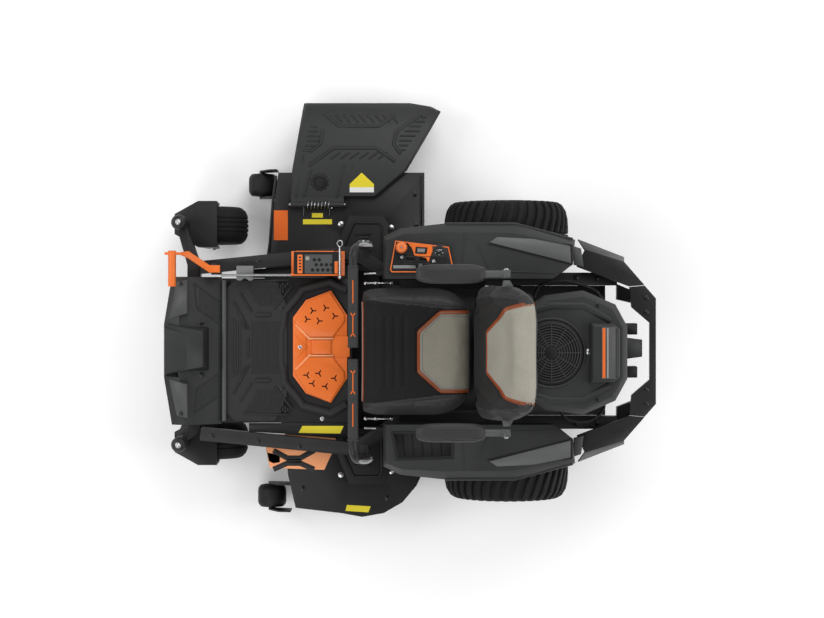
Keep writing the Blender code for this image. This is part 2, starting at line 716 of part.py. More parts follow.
def seat(steel, vinyl):
    """The seat pan tips forward on its front hinge, and the seat slides on it."""
    pan_low, pan_high = SEAT_HINGE_Z - 0.004, CUSHION_LOW_Z - 0.012
    pan = block((-0.230, -0.152, pan_low), (0.230, 0.250, pan_low + SHEET))
    knuckles, bores = [], []
    for side in SIDES.values():
        knuckles.append(
            mirrored(bush((0.195, SEAT_HINGE_Y, SEAT_HINGE_Z), (1, 0, 0), 0.0055, 0.010, 0.008, 12), side)
        )
    rails_ = [
        mirrored(block((0.120, -0.120, pan_low), (0.150, 0.230, pan_high)), side) for side in SIDES.values()
    ]
    tabs = [
        mirrored(
            block(
                (0.191, SEAT_HINGE_Y + 0.0075, SEAT_HINGE_Z - 0.004),
                (0.199, -0.140, SEAT_HINGE_Z + 0.003),
            ),
            side,
        )
        for side in SIDES.values()
    ]
    piece("seat_pan", "seat_pan", steel, pan, add=[*knuckles, *tabs, *rails_])
    w, front, rear = SEAT_HALF_WIDTH, SEAT_FRONT_Y, SEAT_REAR_Y
    plan = [
        (-w + 0.03, front), (w - 0.03, front), (w, front + 0.04), (w, 0.12),
        (w - 0.03, rear - 0.03), (w - 0.07, rear),
        (-w + 0.07, rear), (-w + 0.03, rear - 0.03), (-w, 0.12), (-w, front + 0.04),
    ]
    low = [(x * 0.94, 0.02 + (y - 0.02) * 0.92, CUSHION_LOW_Z) for x, y in plan]
    wide = [(x, y, CUSHION_LOW_Z + 0.045) for x, y in plan]
    high = [(x * 0.93, 0.02 + (y - 0.02) * 0.92, CUSHION_HIGH_Z) for x, y in plan]
    shoe_low = pan_high + GAP
    shoes = [
        mirrored(block((0.115, -0.100, shoe_low), (0.155, 0.200, CUSHION_LOW_Z + 0.004)), side) for side in SIDES.values()
    ]
    piece("seat_cushion", "seat", vinyl, loft([low, wide, high]), add=shoes)
    front = SEAT_REAR_Y + 0.006
    sections = []
    for z, thick, half, in_front in (
        (BACK_FOOT_Z, 0.055, 0.190, 0.002), (CUSHION_HIGH_Z + 0.010, 0.076, 0.248, 0.0),
        (0.765, 0.090, SEAT_BACK_HALF, 0.0),
        (0.880, BACK_THICKNESS, SEAT_BACK_HALF, 0.0),
        (BACK_TOP_Z - 0.045, BACK_THICKNESS + 0.003, 0.226, 0.002),
        (BACK_TOP_Z, 0.070, 0.180, 0.022),
    ):
        lean = max(0.0, z - CUSHION_HIGH_Z) * BACK_LEAN
        y0, y1 = front + lean + in_front, front + lean + in_front + thick
        corners = [(-half, y0 + 0.02), (-half + 0.04, y0), (half - 0.04, y0), (half, y0 + 0.02),
                   (half, y1 - 0.02), (half - 0.04, y1), (-half + 0.04, y1), (-half, y1 - 0.02)]
        sections.append([(x, y, z) for x, y in corners])
    pins = [
        mirrored(
            cylinder((0.278, ARMREST_PIVOT_Y, ARMREST_LOW_Z + 0.016), (1, 0, 0), 0.0065, 0.080, 12),
            side,
        )
        for side in SIDES.values()
    ]
    piece("seat_back", "seat", vinyl, loft(sections), add=pins)


def armrests(steel, vinyl):
    """Padded arms hinged on brackets at the sides of the seat back."""
    for side_name, side in SIDES.items():
        x, half = ARMREST_X, ARMREST_WIDTH / 2
        pad_rear = 0.270
        plan = [
            (x - half + 0.012, ARMREST_FRONT_Y + 0.004), (x - half + 0.028, ARMREST_FRONT_Y),
            (x + half - 0.028, ARMREST_FRONT_Y), (x + half - 0.012, ARMREST_FRONT_Y + 0.004),
            (x + half, ARMREST_FRONT_Y + 0.030), (x + half, pad_rear - 0.02), (x + half - 0.015, pad_rear),
            (x - half + 0.015, pad_rear), (x - half, pad_rear - 0.02), (x - half, ARMREST_FRONT_Y + 0.030),
        ]
        pad = mirrored(prism(plan, ARMREST_LOW_Z, ARMREST_HIGH_Z), side)
        arm = block(
            (x - 0.014, 0.240, ARMREST_LOW_Z + 0.004),
            (x + 0.022, ARMREST_PIVOT_Y + 0.014, ARMREST_HIGH_Z - 0.012),
        )
        bore = cylinder((x, ARMREST_PIVOT_Y, ARMREST_LOW_Z + 0.016), (1, 0, 0), 0.0075, 0.09, 12)
        piece(f"armrest_{side_name}", f"armrest_{side_name}", vinyl, pad, add=[mirrored(arm, side)], cut=[mirrored(bore, side)])


# ---------------------------------------------------------------- steering
def steering(steel, rubber):
    """Each lever turns fore and aft on the frame, and its lap bar swings outwards on the lever."""
    for side_name, side in SIDES.items():
        x = LEVER_X
        hub = bush((x + 0.022, LEVER_Y, LEVER_Z), (1, 0, 0), 0.0085, 0.017, 0.024, 16)
        arm = block(
            (x + 0.012, LEVER_Y - 0.012, LEVER_Z + 0.010),
            (x + 0.022, LEVER_Y + 0.012, SWING_Z - 0.016),
        )
        web = block(
            (x - 0.006, LEVER_Y - 0.027, SWING_Z - 0.022),
            (x + 0.022, LEVER_Y + 0.027, SWING_Z - 0.014),
        )
        cheeks = [
            block(
                (x - 0.006, LEVER_Y + y, SWING_Z - 0.018),
                (x + 0.014, LEVER_Y + y + 0.006, SWING_Z + 0.010),
            )
            for y in (-0.027, 0.021)
        ]
        pin = cylinder((x + 0.004, LEVER_Y, SWING_Z), (0, 1, 0), 0.004, 0.052, 12)
        lever = [mirrored(s, side) for s in (hub, arm, web, *cheeks, pin)]
        piece(f"lever_base_{side_name}", f"lever_{side_name}", steel, lever[0], add=lever[1:])
        knuckle = bush((x + 0.004, LEVER_Y, SWING_Z), (0, 1, 0), 0.0050, 0.0110 - GAP, 0.036, 12)
        bar = rod_along(
            [
                (x + 0.004, LEVER_Y, SWING_Z + 0.008), (x + 0.002, LEVER_Y, SWING_Z + 0.10),
                (x - 0.002, LEVER_Y - 0.010, GRIP_Z - 0.090), (x - 0.012, GRIP_Y + 0.008, GRIP_Z - 0.032),
                (GRIP_OUTER_X + 0.012, GRIP_Y, GRIP_Z - 0.006), (GRIP_OUTER_X - 0.020, GRIP_Y, GRIP_Z),
                (GRIP_INNER_X + 0.006, GRIP_Y, GRIP_Z),
            ],
            LAP_BAR_R, 10,
        )
        piece(f"lap_bar_{side_name}", f"lap_bar_{side_name}", steel, mirrored(knuckle, side), add=[mirrored(bar, side)])
        length = GRIP_OUTER_X - 0.022 - GRIP_INNER_X
        mid = GRIP_INNER_X + length / 2
        sleeve = cylinder((side * mid, GRIP_Y, GRIP_Z), (side, 0, 0), GRIP_R, length, 16)
        bore = rod_along(
            [(GRIP_INNER_X + 0.006 - GAP, GRIP_Y, GRIP_Z), (GRIP_OUTER_X + 0.10, GRIP_Y, GRIP_Z)],
            LAP_BAR_R + 0.001, 12,
        )
        piece(f"lap_grip_{side_name}", f"lap_bar_{side_name}", rubber, sleeve, cut=[mirrored(bore, side)])


def rod_along(route, radius, steps):
    """A round bar along a bent route, its sections square to the bends' bisectors."""
    route = [Vector(p) for p in route]
    sections = []
    side = None
    for i, here in enumerate(route):
        before = (here - route[i - 1]).normalized() if i else None
        after = (route[i + 1] - here).normalized() if i < len(route) - 1 else None
        along = ((before or after) + (after or before)).normalized()
        side = along.orthogonal().normalized() if side is None else (side - along * side.dot(along)).normalized()
        other = along.cross(side)
        stretch = 1 / max(along.dot(before or after), 0.6)
        sections.append(
            [
                tuple(
                    here + radius * (
                        math.cos(t) * side + math.sin(t) * other * (stretch if stretch < 1.3 else 1.3)
                    )
                )
                for t in (2 * math.pi * k / steps for k in range(steps))
            ]
        )
    return loft(sections)


def lever_bracket():
    """The bracket on the left rail that carries a steering lever's pivot pin."""
    x = LEVER_X
    low = RAIL_BOTTOM_Z + RAIL_HEIGHT - 0.001
    post = block((x + 0.036, LEVER_Y - 0.016, low - 0.040), (x + 0.042, LEVER_Y + 0.016, LEVER_Z + 0.018))
    foot = block((RAIL_WAIST_X - 0.020, LEVER_Y - 0.016, low), (x + 0.042, LEVER_Y + 0.016, low + 0.005))
    pin = cylinder((x + 0.022, LEVER_Y, LEVER_Z), (1, 0, 0), 0.0075, 0.034, 12)
    return [foot, post, pin]


def pedal_bracket():
    """The bracket on the right rail that carries the lift pedal's pivot pin."""
    x = PEDAL_X
    low = RAIL_BOTTOM_Z + RAIL_HEIGHT - 0.001
    foot = block((x - 0.020, PEDAL_Y - 0.016, low), (x + 0.0215, PEDAL_Y + 0.024, low + 0.005))
    ear = block((x + 0.0165, PEDAL_Y - 0.014, low), (x + 0.0215, PEDAL_Y + 0.014, PEDAL_Z + 0.014))
    pin = cylinder((x - 0.002, PEDAL_Y, PEDAL_Z), (1, 0, 0), 0.0065, 0.042, 12)
    return [foot, ear, pin]


# ---------------------------------------------------------------- engine and drive
def engine(steel, plastic):
    """A V-twin with a vertical crankshaft, its fan shroud, air filter cover and muffler."""
    low, high = ENGINE_LOW_Z, SHROUD_LOW_Z - GAP
    core = block((-0.120, ENGINE_Y - 0.115, low), (0.120, ENGINE_Y + 0.125, high))
    cylinders = []
    for side in SIDES.values():
        lean = Vector((side * math.sin(math.radians(45)), -math.cos(math.radians(45)), 0))
        start = Vector((0, ENGINE_Y, low + 0.125))
        wide, tall = 0.062, 0.052
        across = Vector((lean.y, -lean.x, 0))
        sections = []
        for reach in (0.08, 0.235):
            at = start + lean * reach
            sections.append(
                [tuple(at + across * a + Vector((0, 0, b))) for a, b in ((-wide, -tall), (wide, -tall), (wide, tall), (-wide, tall))]
            )
        cylinders.append(loft(sections))
    bore = cylinder((0, ENGINE_Y, 0.5), (0, 0, 1), CRANK_R + RUNNING_GAP, 0.4, 16)
    flange = block((-0.150, 0.387, high - 0.030), (0.150, 0.655, high))
    piece("engine_block", "chassis", steel, core, add=[*cylinders, flange], cut=[bore])
    plan = [
        (-0.140, 0.386), (0.140, 0.386), (0.215, 0.500), (0.232, 0.640), (0.180, 0.760), (0.098, 0.805),
        (-0.098, 0.805), (-0.180, 0.760), (-0.232, 0.640), (-0.215, 0.500),
    ]
    shrunk = [(x, max(y, 0.388)) for x, y in offset_outline(plan, 0.022)]
    edge = SHROUD_HIGH_Z - 0.035
    outer = loft(
        [
            [(x, y, SHROUD_LOW_Z) for x, y in plan],
            [(x, y, edge) for x, y in plan],
            [(x, y, SHROUD_HIGH_Z) for x, y in shrunk],
        ]
    )
    inner_plan, inner_top = offset_outline(plan, PLASTIC_WALL), offset_outline(shrunk, PLASTIC_WALL)
    inner = loft(
        [
            [(x, y, SHROUD_LOW_Z - 0.01) for x, y in inner_plan],
            [(x, y, edge - 0.002) for x, y in inner_plan],
            [(x, y, SHROUD_HIGH_Z - PLASTIC_WALL) for x, y in inner_top],
        ]
    )
    opening = cylinder((0, ENGINE_Y, SHROUD_HIGH_Z), (0, 0, 1), FAN_R + 0.0015, 0.08, 40)
    piece("engine_shroud", "chassis", plastic, outer, cut=[inner, opening])
    low_plan = [
        (-0.112, 0.660), (0.112, 0.660), (0.108, 0.745), (0.088, 0.770), (-0.088, 0.770),
        (-0.108, 0.745),
    ]
    top_plan = offset_outline(low_plan, 0.010)
    base = SHROUD_HIGH_Z + GAP
    cover = loft(
        [
            [(x, y, base) for x, y in low_plan],
            [(x, y, base + 0.030) for x, y in low_plan],
            [(x, y, base + 0.042) for x, y in top_plan],
        ]
    )
    piece("air_filter_cover", "chassis", plastic, cover)
    can = turned(
        [(0, -0.150), (0.045, -0.150), (0.055, -0.138), (0.055, 0.138), (0.045, 0.150), (0, 0.150)],
        (0, 0.720, 0.455), (1, 0, 0), 20,
    )
    pipe = cylinder((0.100, 0.775, 0.455), (0, 1, 0), 0.014, 0.050, 12)
    feet = [block((x - 0.012, 0.712, ENGINE_LOW_Z), (x + 0.012, 0.728, 0.420)) for x in (-0.10, 0.10)]
    piece("muffler", "chassis", steel, can, add=[pipe, *feet])


def crankshaft(steel, dark):
    """The shaft, with the guard screen of the fan above and the belt pulley below."""
    top = SHROUD_HIGH_Z - 0.009
    shaft = cylinder((0, ENGINE_Y, (0.250 + top) / 2), (0, 0, 1), CRANK_R, top - 0.250, 16)
    pulley = turned(
        [(0, 0.270), (DRIVE_PULLEY_R, 0.270), (DRIVE_PULLEY_R - 0.008, 0.283), (DRIVE_PULLEY_R, 0.296),
         (DRIVE_PULLEY_R, 0.302), (DRIVE_PULLEY_R - 0.008, 0.315), (DRIVE_PULLEY_R, 0.328), (0, 0.328)],
        (0, ENGINE_Y, 0), (0, 0, 1), 24,
    )
    piece("drive_pulley", "crankshaft", steel, shaft, add=[pulley])
    base = top + GAP
    screen = turned(
        [(0, base), (0.020, base), (FAN_R - 0.006, base), (FAN_R, base + 0.006), (FAN_R, base + 0.012),
         (FAN_R - 0.008, base + 0.016), (0.030, base + 0.020), (0, base + 0.020)],
        (0, ENGINE_Y, 0), (0, 0, 1), 40,
    )
    piece("fan_screen", "crankshaft", dark, screen)


def transaxles(steel):
    """A hydrostatic transaxle under each rail, with the stub axle that its wheel turns on."""
    for side_name, side in SIDES.items():
        x0, x1 = 0.110, 0.285
        core = block((x0, REAR_AXLE_Y - 0.100, 0.165), (x1 - 0.045, REAR_AXLE_Y + 0.105, 0.345))
        top = block((x0 + 0.03, REAR_AXLE_Y - 0.12, 0.200), (x0 + 0.09, REAR_AXLE_Y + 0.12, 0.320))
        hub = cylinder((x1 - 0.040, REAR_AXLE_Y, REAR_TYRE_R), (1, 0, 0), 0.052, 0.080, 20)
        reach = REAR_TYRE_X + 0.052
        axle = cylinder(
            ((x1 + reach) / 2 - 0.02, REAR_AXLE_Y, REAR_TYRE_R), (1, 0, 0), 0.0175,
            reach - x1 + 0.04, 16,
        )
        pad = block(
            (RAIL_REAR_X - RAIL_WIDTH / 2, REAR_AXLE_Y - 0.050, 0.240),
            (x1 + 0.001, REAR_AXLE_Y + 0.055, RAIL_BOTTOM_Z - GAP),
        )
        shapes = [mirrored(s, side) for s in (core, top, hub, axle, pad)]
        piece(f"transaxle_{side_name}", "chassis", steel, shapes[0], add=shapes[1:])


# ---------------------------------------------------------------- wheels
def rear_wheels(rubber, paint):
    for side_name, side in SIDES.items():
        centre = (side * REAR_TYRE_X, REAR_AXLE_Y, REAR_TYRE_R)
        half, bead = REAR_TYRE_W / 2, REAR_RIM_R + 2 * GAP
        tyre = turned(
            [
                (bead, -half + 0.035), (bead + 0.020, -half + 0.020), (0.165, -half),
                (0.205, -half + 0.004),
                (0.236, -half + 0.022), (REAR_TYRE_R, -half + 0.060), (REAR_TYRE_R, half - 0.060),
                (0.236, half - 0.022), (0.205, half - 0.004), (0.165, half), (bead + 0.020, half - 0.020),
                (bead, half - 0.035), (bead, 0),
            ],
            centre, (side, 0, 0), 40,
        )
        piece(f"rear_tyre_{side_name}", f"rear_wheel_{side_name}", rubber, tyre)
        bore = 0.0175 + RUNNING_GAP
        rim = turned(
            [
                (bore, 0.010), (0.040, 0.010), (0.046, 0.022), (REAR_RIM_R - 0.0236, 0.030), (REAR_RIM_R - 0.0116, 0.036),
                (REAR_RIM_R - 0.0076, half - 0.045),
                (REAR_RIM_R, half - 0.037), (REAR_RIM_R, -half + 0.037), (REAR_RIM_R - 0.0076, -half + 0.045),
                (REAR_RIM_R - 0.0156, 0.022), (0.040, -0.012), (0.034, -0.030), (bore, -0.030),
            ],
            centre, (side, 0, 0), 32,
        )
        piece(f"rear_rim_{side_name}", f"rear_wheel_{side_name}", paint, rim)


def casters(steel, rubber, paint):
    """Front casters: a fork that swivels in the beam's barrel, trailing a smooth tyre."""
    for side_name in SIDES:
        x, y = CASTER_X[side_name], CASTER_Y
        wheel_y = y + CASTER_TRAIL
        half = CASTER_TYRE_W / 2
        leg_in = half + FORK_CLEARANCE
        leg_out = leg_in + FORK_PLATE
        crown_low = 2 * CASTER_TYRE_R + CROWN_CLEARANCE
        crown_high = crown_low + FORK_PLATE
        crown = prism(
            [(x - leg_out, wheel_y + 0.030), (x - leg_out, wheel_y - 0.045), (x - 0.040, y - 0.036), (x + 0.040, y - 0.036),
             (x + leg_out, wheel_y - 0.045), (x + leg_out, wheel_y + 0.030)],
            crown_low, crown_high,
        )
        legs = []
        for side in SIDES.values():
            a, b = sorted((x + side * leg_in, x + side * leg_out))
            section = [
                (wheel_y - 0.045, crown_low + 0.002), (wheel_y - 0.022, CASTER_TYRE_R - 0.022),
                (wheel_y + 0.022, CASTER_TYRE_R - 0.022), (wheel_y + 0.030, crown_low + 0.002),
            ]
            legs.append(loft([[(at, yy, zz) for yy, zz in section] for at in (a, b)]))
        stem_top = BARREL_HIGH_Z + 0.020
        stem = cylinder(
            (x, y, (crown_high + stem_top) / 2 - 0.001), (0, 0, 1), CASTER_STEM_R,
            stem_top - crown_high + 0.002, 16,
        )
        washer = cylinder(
            (x, y, (crown_high + BARREL_LOW_Z - RUNNING_GAP) / 2), (0, 0, 1), 0.022,
            BARREL_LOW_Z - RUNNING_GAP - crown_high, 16,
        )
        cap_low = BARREL_HIGH_Z + RUNNING_GAP
        cap = turned(
            [(0, cap_low), (CASTER_BARREL_R, cap_low), (CASTER_BARREL_R, cap_low + 0.014), (0.024, cap_low + 0.024),
             (0.010, cap_low + 0.029), (0, cap_low + 0.029)],
            (x, y, 0), (0, 0, 1), 20,
        )
        axle = cylinder((x, wheel_y, CASTER_TYRE_R), (1, 0, 0), 0.009, 2 * leg_out + 0.012, 12)
        piece(f"caster_fork_{side_name}", f"caster_{side_name}", steel, crown, add=[*legs, stem, washer, cap, axle])
        centre = (x, wheel_y, CASTER_TYRE_R)
        bead = CASTER_RIM_R + 2 * GAP
        tyre = turned(
            [
                (bead, -half + 0.020), (0.095, -half + 0.004), (0.112, -half), (0.126, -half + 0.010),
                (0.136, -half + 0.028), (CASTER_TYRE_R, -half + 0.050), (CASTER_TYRE_R, half - 0.050),
                (0.136, half - 0.028), (0.126, half - 0.010), (0.112, half), (0.095, half - 0.004),
                (bead, half - 0.020), (bead, 0),
            ],
            centre, (1, 0, 0), 32,
        )
        piece(f"caster_tyre_{side_name}", f"caster_wheel_{side_name}", rubber, tyre)
        bore = 0.009 + RUNNING_GAP
        end = leg_in - RUNNING_GAP
        rim = turned(
            [
                (bore, -end), (0.020, -end), (0.022, -half + 0.030), (0.050, -half + 0.034),
                (CASTER_RIM_R, -half + 0.022),
                (CASTER_RIM_R, half - 0.022), (0.050, half - 0.034), (0.022, half - 0.030),
                (0.020, end), (bore, end),
            ],
            centre, (1, 0, 0), 24,
        )
        piece(f"caster_rim_{side_name}", f"caster_wheel_{side_name}", paint, rim)


# ---------------------------------------------------------------- cutting deck
def deck_outline():
    """Plan of the deck, anticlockwise from its front right corner, round the three blades."""
    centre = (0, CENTRE_SPINDLE_Y)
    left = (SPINDLE_X, SPINDLE_Y)
    return [
        (DECK_RIGHT_X, -0.538), (-0.386, -0.584),
        *arc(centre, BLADE_SHELL_R, -112, -62, 3),
        (0.330, -0.512), (0.502, -0.500), (0.638, -0.469),
        *arc(left, BLADE_SHELL_R, -20, 60, 4),
        (0.480, DECK_REAR_Y), (DECK_RIGHT_X, DECK_REAR_Y),
    ]


def discharge_gap():
    """The gap in the right-hand wall that the cut grass leaves by."""
    return (-0.470, -0.095)


def deck(steel, dark):
    """The deck shell, which hangs below the rails and rises to change the cutting height."""
    shell = open_shell(deck_outline(), DECK_LOW_Z, DECK_HIGH_Z, DECK_WALL)
    y0, y1 = discharge_gap()
    exit_hole = block(
        (DECK_RIGHT_X - 0.05, y0, DECK_LOW_Z - 0.02),
        (DECK_RIGHT_X + 0.06, y1, DECK_HIGH_Z - 0.012),
    )
    cuts = [exit_hole]
    for x, y in spindles().values():
        cuts.append(cylinder((x, y, DECK_HIGH_Z), (0, 0, 1), SPINDLE_R + 0.003, 0.06, 16))
    adds = []
    for side_name, (x, y) in GAUGE_WHEELS.items():
        inner = x - GAUGE_WHEEL_W / 2 - 0.010
        outer = x + GAUGE_WHEEL_W / 2 + 0.010
        back = -0.490 if side_name == "left" else -0.545
        for at in (inner, outer):
            a, b = (at - 0.006, at) if at == inner else (at, at + 0.006)
            section = [
                (y + 0.016, GAUGE_WHEEL_Z - 0.014), (back, GAUGE_WHEEL_Z + 0.010),
                (back, DECK_HIGH_Z - 0.010),
                (y + 0.030, DECK_HIGH_Z - 0.020), (y - 0.012, GAUGE_WHEEL_Z + 0.030),
                (y - 0.016, GAUGE_WHEEL_Z - 0.014),
            ]
            adds.append(loft([[(xx, yy, zz) for yy, zz in section] for xx in (a, b)]))
        adds.append(cylinder((x, y, GAUGE_WHEEL_Z), (1, 0, 0), GAUGE_AXLE_R, outer - inner + 0.012, 12))
    for y in (-0.500, -0.268):
        adds.append(
            block(
                (CHUTE_HINGE_X - 0.010, y, DECK_HIGH_Z - 0.002),
                (CHUTE_HINGE_X + 0.010, y + 0.006, CHUTE_HINGE_Z + 0.010),
            )
        )
    adds.append(
        cylinder((CHUTE_HINGE_X, -0.381, CHUTE_HINGE_Z), (0, 1, 0), CHUTE_PIN_R - RUNNING_GAP, 0.236, 12)
    )
    piece("deck_shell", "deck", dark, shell, add=adds, cut=cuts)


def spindles():
    return {
        "right": (-SPINDLE_X, SPINDLE_Y),
        "centre": (0, CENTRE_SPINDLE_Y),
        "left": (SPINDLE_X, SPINDLE_Y),
    }


def spindle_covers(dark):
    """Covers over the outer spindle pulleys, open towards the middle for the belt."""
    for side_name, side in SIDES.items():
        x0, x1, y0, y1 = 0.315, 0.536, -0.298, -0.095
        low, high = DECK_HIGH_Z + GAP, 0.262
        outline = [(x0, y0), (0.420, y0), (x1, -0.250), (x1, -0.116), (0.506, y1), (x0, y1)]
        if side < 0:
            outline = [(-x, y) for x, y in reversed(outline)]
        way_in = block((x0 - 0.02, y0 + 0.012, low - 0.01), (x0 + 0.02, y1 - 0.006, high - DECK_WALL))
        front = block((x0 - 0.02, y0 - 0.02, low - 0.01), (x0 + 0.075, y0 + 0.02, high - DECK_WALL))
        cover = open_shell(outline, low, high, 0.004)
        piece(f"spindle_cover_{side_name}", "deck", dark, cover, cut=[mirrored(way_in, side), mirrored(front, side)])


def blades(steel):
    """Each blade is one rigid piece with its spindle shaft and pulley."""
    names = {"right": "blade_right", "centre": "blade_centre", "left": "blade_left"}
    for side_name, (x, y) in spindles().items():
        low, high = BLADE_Z - BLADE_THICKNESS / 2, BLADE_Z + BLADE_THICKNESS / 2
        half, w = BLADE_LENGTH / 2, BLADE_WIDTH / 2
        bar = [(x - half, y - w), (x + half, y - w + 0.018), (x + half, y + w), (x - half, y + w - 0.018)]
        shaft_top = BELT_LOW_Z + 0.024
        shaft = cylinder(
            (x, y, (low - 0.008 + shaft_top) / 2), (0, 0, 1), SPINDLE_R, shaft_top - low + 0.008,
            16,
        )
        collar = cylinder(
            (x, y, (high + DECK_HIGH_Z - DECK_WALL - 0.002) / 2 - 0.0005), (0, 0, 1), 0.034,
            DECK_HIGH_Z - DECK_WALL - 0.002 - high, 20,
        )
        middle = BELT_LOW_Z + BELT_THICKNESS / 2
        groove = SPINDLE_PULLEY_R - BELT_WIDTH - RUNNING_GAP
        pulley = turned(
            [
                (0, middle - 0.010), (SPINDLE_PULLEY_R, middle - 0.010),
                (SPINDLE_PULLEY_R, middle - 0.0062),
                (groove, middle - 0.0052), (groove, middle + 0.0052), (SPINDLE_PULLEY_R, middle + 0.0062),
                (SPINDLE_PULLEY_R, middle + 0.010), (0, middle + 0.010),
            ],
            (x, y, 0), (0, 0, 1), 28,
        )
        piece(f"blade_spindle_{side_name}", names[side_name], steel, prism(bar, low, high), add=[shaft, collar, pulley])


def belt(rubber):
    """The belt that drives the three spindles."""
    centres = [spindles()[name] for name in ("centre", "left", "right")]
    outer_r, inner_r = SPINDLE_PULLEY_R - GAP, SPINDLE_PULLEY_R - BELT_WIDTH
    outer = round_outline(centres, outer_r, 10)
    inner = round_outline(centres, inner_r, 10)
    low, high = BELT_LOW_Z, BELT_LOW_Z + BELT_THICKNESS
    section = [(inner, low), (outer, low), (outer, high), (inner, high)]
    count = len(outer)
    rings = []
    for i in range(count):
        rings.append([(*path[i], z) for path, z in section])
    piece("deck_belt", "deck", rubber, loft(rings, closed=True))


def chute(dark):
    """The discharge chute, hinged on a rod over the gap in the deck's wall, so that it tips up."""
    stations = [  # x, front y, rear y, top z
        (-0.616, -0.487, -0.141, 0.226),
        (-0.720, -0.482, -0.021, 0.224),
        (-0.880, -0.456, 0.070, 0.196),
        (-0.964, -0.444, 0.116, 0.160),
        (-0.985, -0.441, 0.078, 0.145),
        (-CHUTE_REACH, -0.439, 0.000, 0.130),
    ]
    drop = 0.060
    sheet = CHUTE_SHEET
    sections = []
    for number, (x, front, rear, top) in enumerate(stations):
        low = max(top - drop, 0.085) if number else top - 0.020
        if number == 1:
            low = top - 0.022
        sections.append(
            [
                (x, front, top - 0.010), (x, front + 0.012, top), (x, rear - 0.012, top),
                (x, rear, top - 0.010),
                (x, rear, low), (x, rear - sheet, low), (x, rear - sheet, top - sheet - 0.006),
                (x, rear - 0.016, top - sheet), (x, front + 0.016, top - sheet),
                (x, front + sheet, top - sheet - 0.006),
                (x, front + sheet, low), (x, front, low),
            ]
        )
    knuckle = bush(
        (CHUTE_HINGE_X, -0.380, CHUTE_HINGE_Z), (0, 1, 0), CHUTE_PIN_R, CHUTE_PIN_R + 0.006, 0.216,
        14,
    )
    leaf = block(
        (-0.624, -0.486, CHUTE_HINGE_Z - 0.004),
        (CHUTE_HINGE_X - 0.008, -0.274, CHUTE_HINGE_Z + 0.003),
    )
    piece("discharge_chute", "chute", dark, loft(sections), add=[knuckle, leaf])


def gauge_wheels(plastic):
    """Anti-scalp rollers at the front of the deck."""
    for side_name, (x, y) in GAUGE_WHEELS.items():
        half = GAUGE_WHEEL_W / 2
        wheel = turned(
            [
                (GAUGE_AXLE_R + RUNNING_GAP, -half - 0.008), (0.018, -half - 0.008),
                (0.020, -half + 0.004), (0.040, -half),
                (0.052, -half + 0.010), (GAUGE_WHEEL_R, -half + 0.026), (GAUGE_WHEEL_R, half - 0.026),
                (0.052, half - 0.010), (0.040, half), (0.020, half - 0.004), (0.018, half + 0.008),
                (GAUGE_AXLE_R + RUNNING_GAP, half + 0.008),
            ],
            (x, y, GAUGE_WHEEL_Z), (1, 0, 0), 24,
        )
        piece(f"gauge_wheel_{side_name}", f"gauge_wheel_{side_name}", plastic, wheel)


def lift_pedal(paint):
    """The foot pedal at the right of the nose, which lifts the deck."""
    x = PEDAL_X
    outer = x - 0.054
    rise = (PEDAL_PEG_Z - PEDAL_Z) / 2
    sections = []
    for at, y, z, half, deep in (
        (x, PEDAL_Y + 0.020, PEDAL_Z, 0.0145, 0.012), (x, PEDAL_Y - 0.020, PEDAL_Z, 0.0145, 0.012),
        (outer, PEDAL_Y - 0.098, PEDAL_Z + rise, 0.0145, 0.006),
        (outer - 0.004, PEDAL_PEG_Y + 0.030, PEDAL_PEG_Z - 0.012, 0.005, 0.014),
        (outer - 0.004, PEDAL_PEG_Y - 0.028, PEDAL_PEG_Z, 0.005, 0.012),
    ):
        sections.append(
            [
                (at - half, y, z - deep), (at + half, y, z - deep), (at + half, y, z + deep),
                (at - half, y, z + deep),
            ]
        )
    peg = cylinder((x, PEDAL_PEG_Y, PEDAL_PEG_Z), (1, 0, 0), 0.0155, 0.138, 16)
    bore = cylinder((x, PEDAL_Y, PEDAL_Z), (1, 0, 0), 0.0075, 0.10, 12)
    piece("lift_pedal", "lift_pedal", paint, loft(sections), add=[peg], cut=[bore])


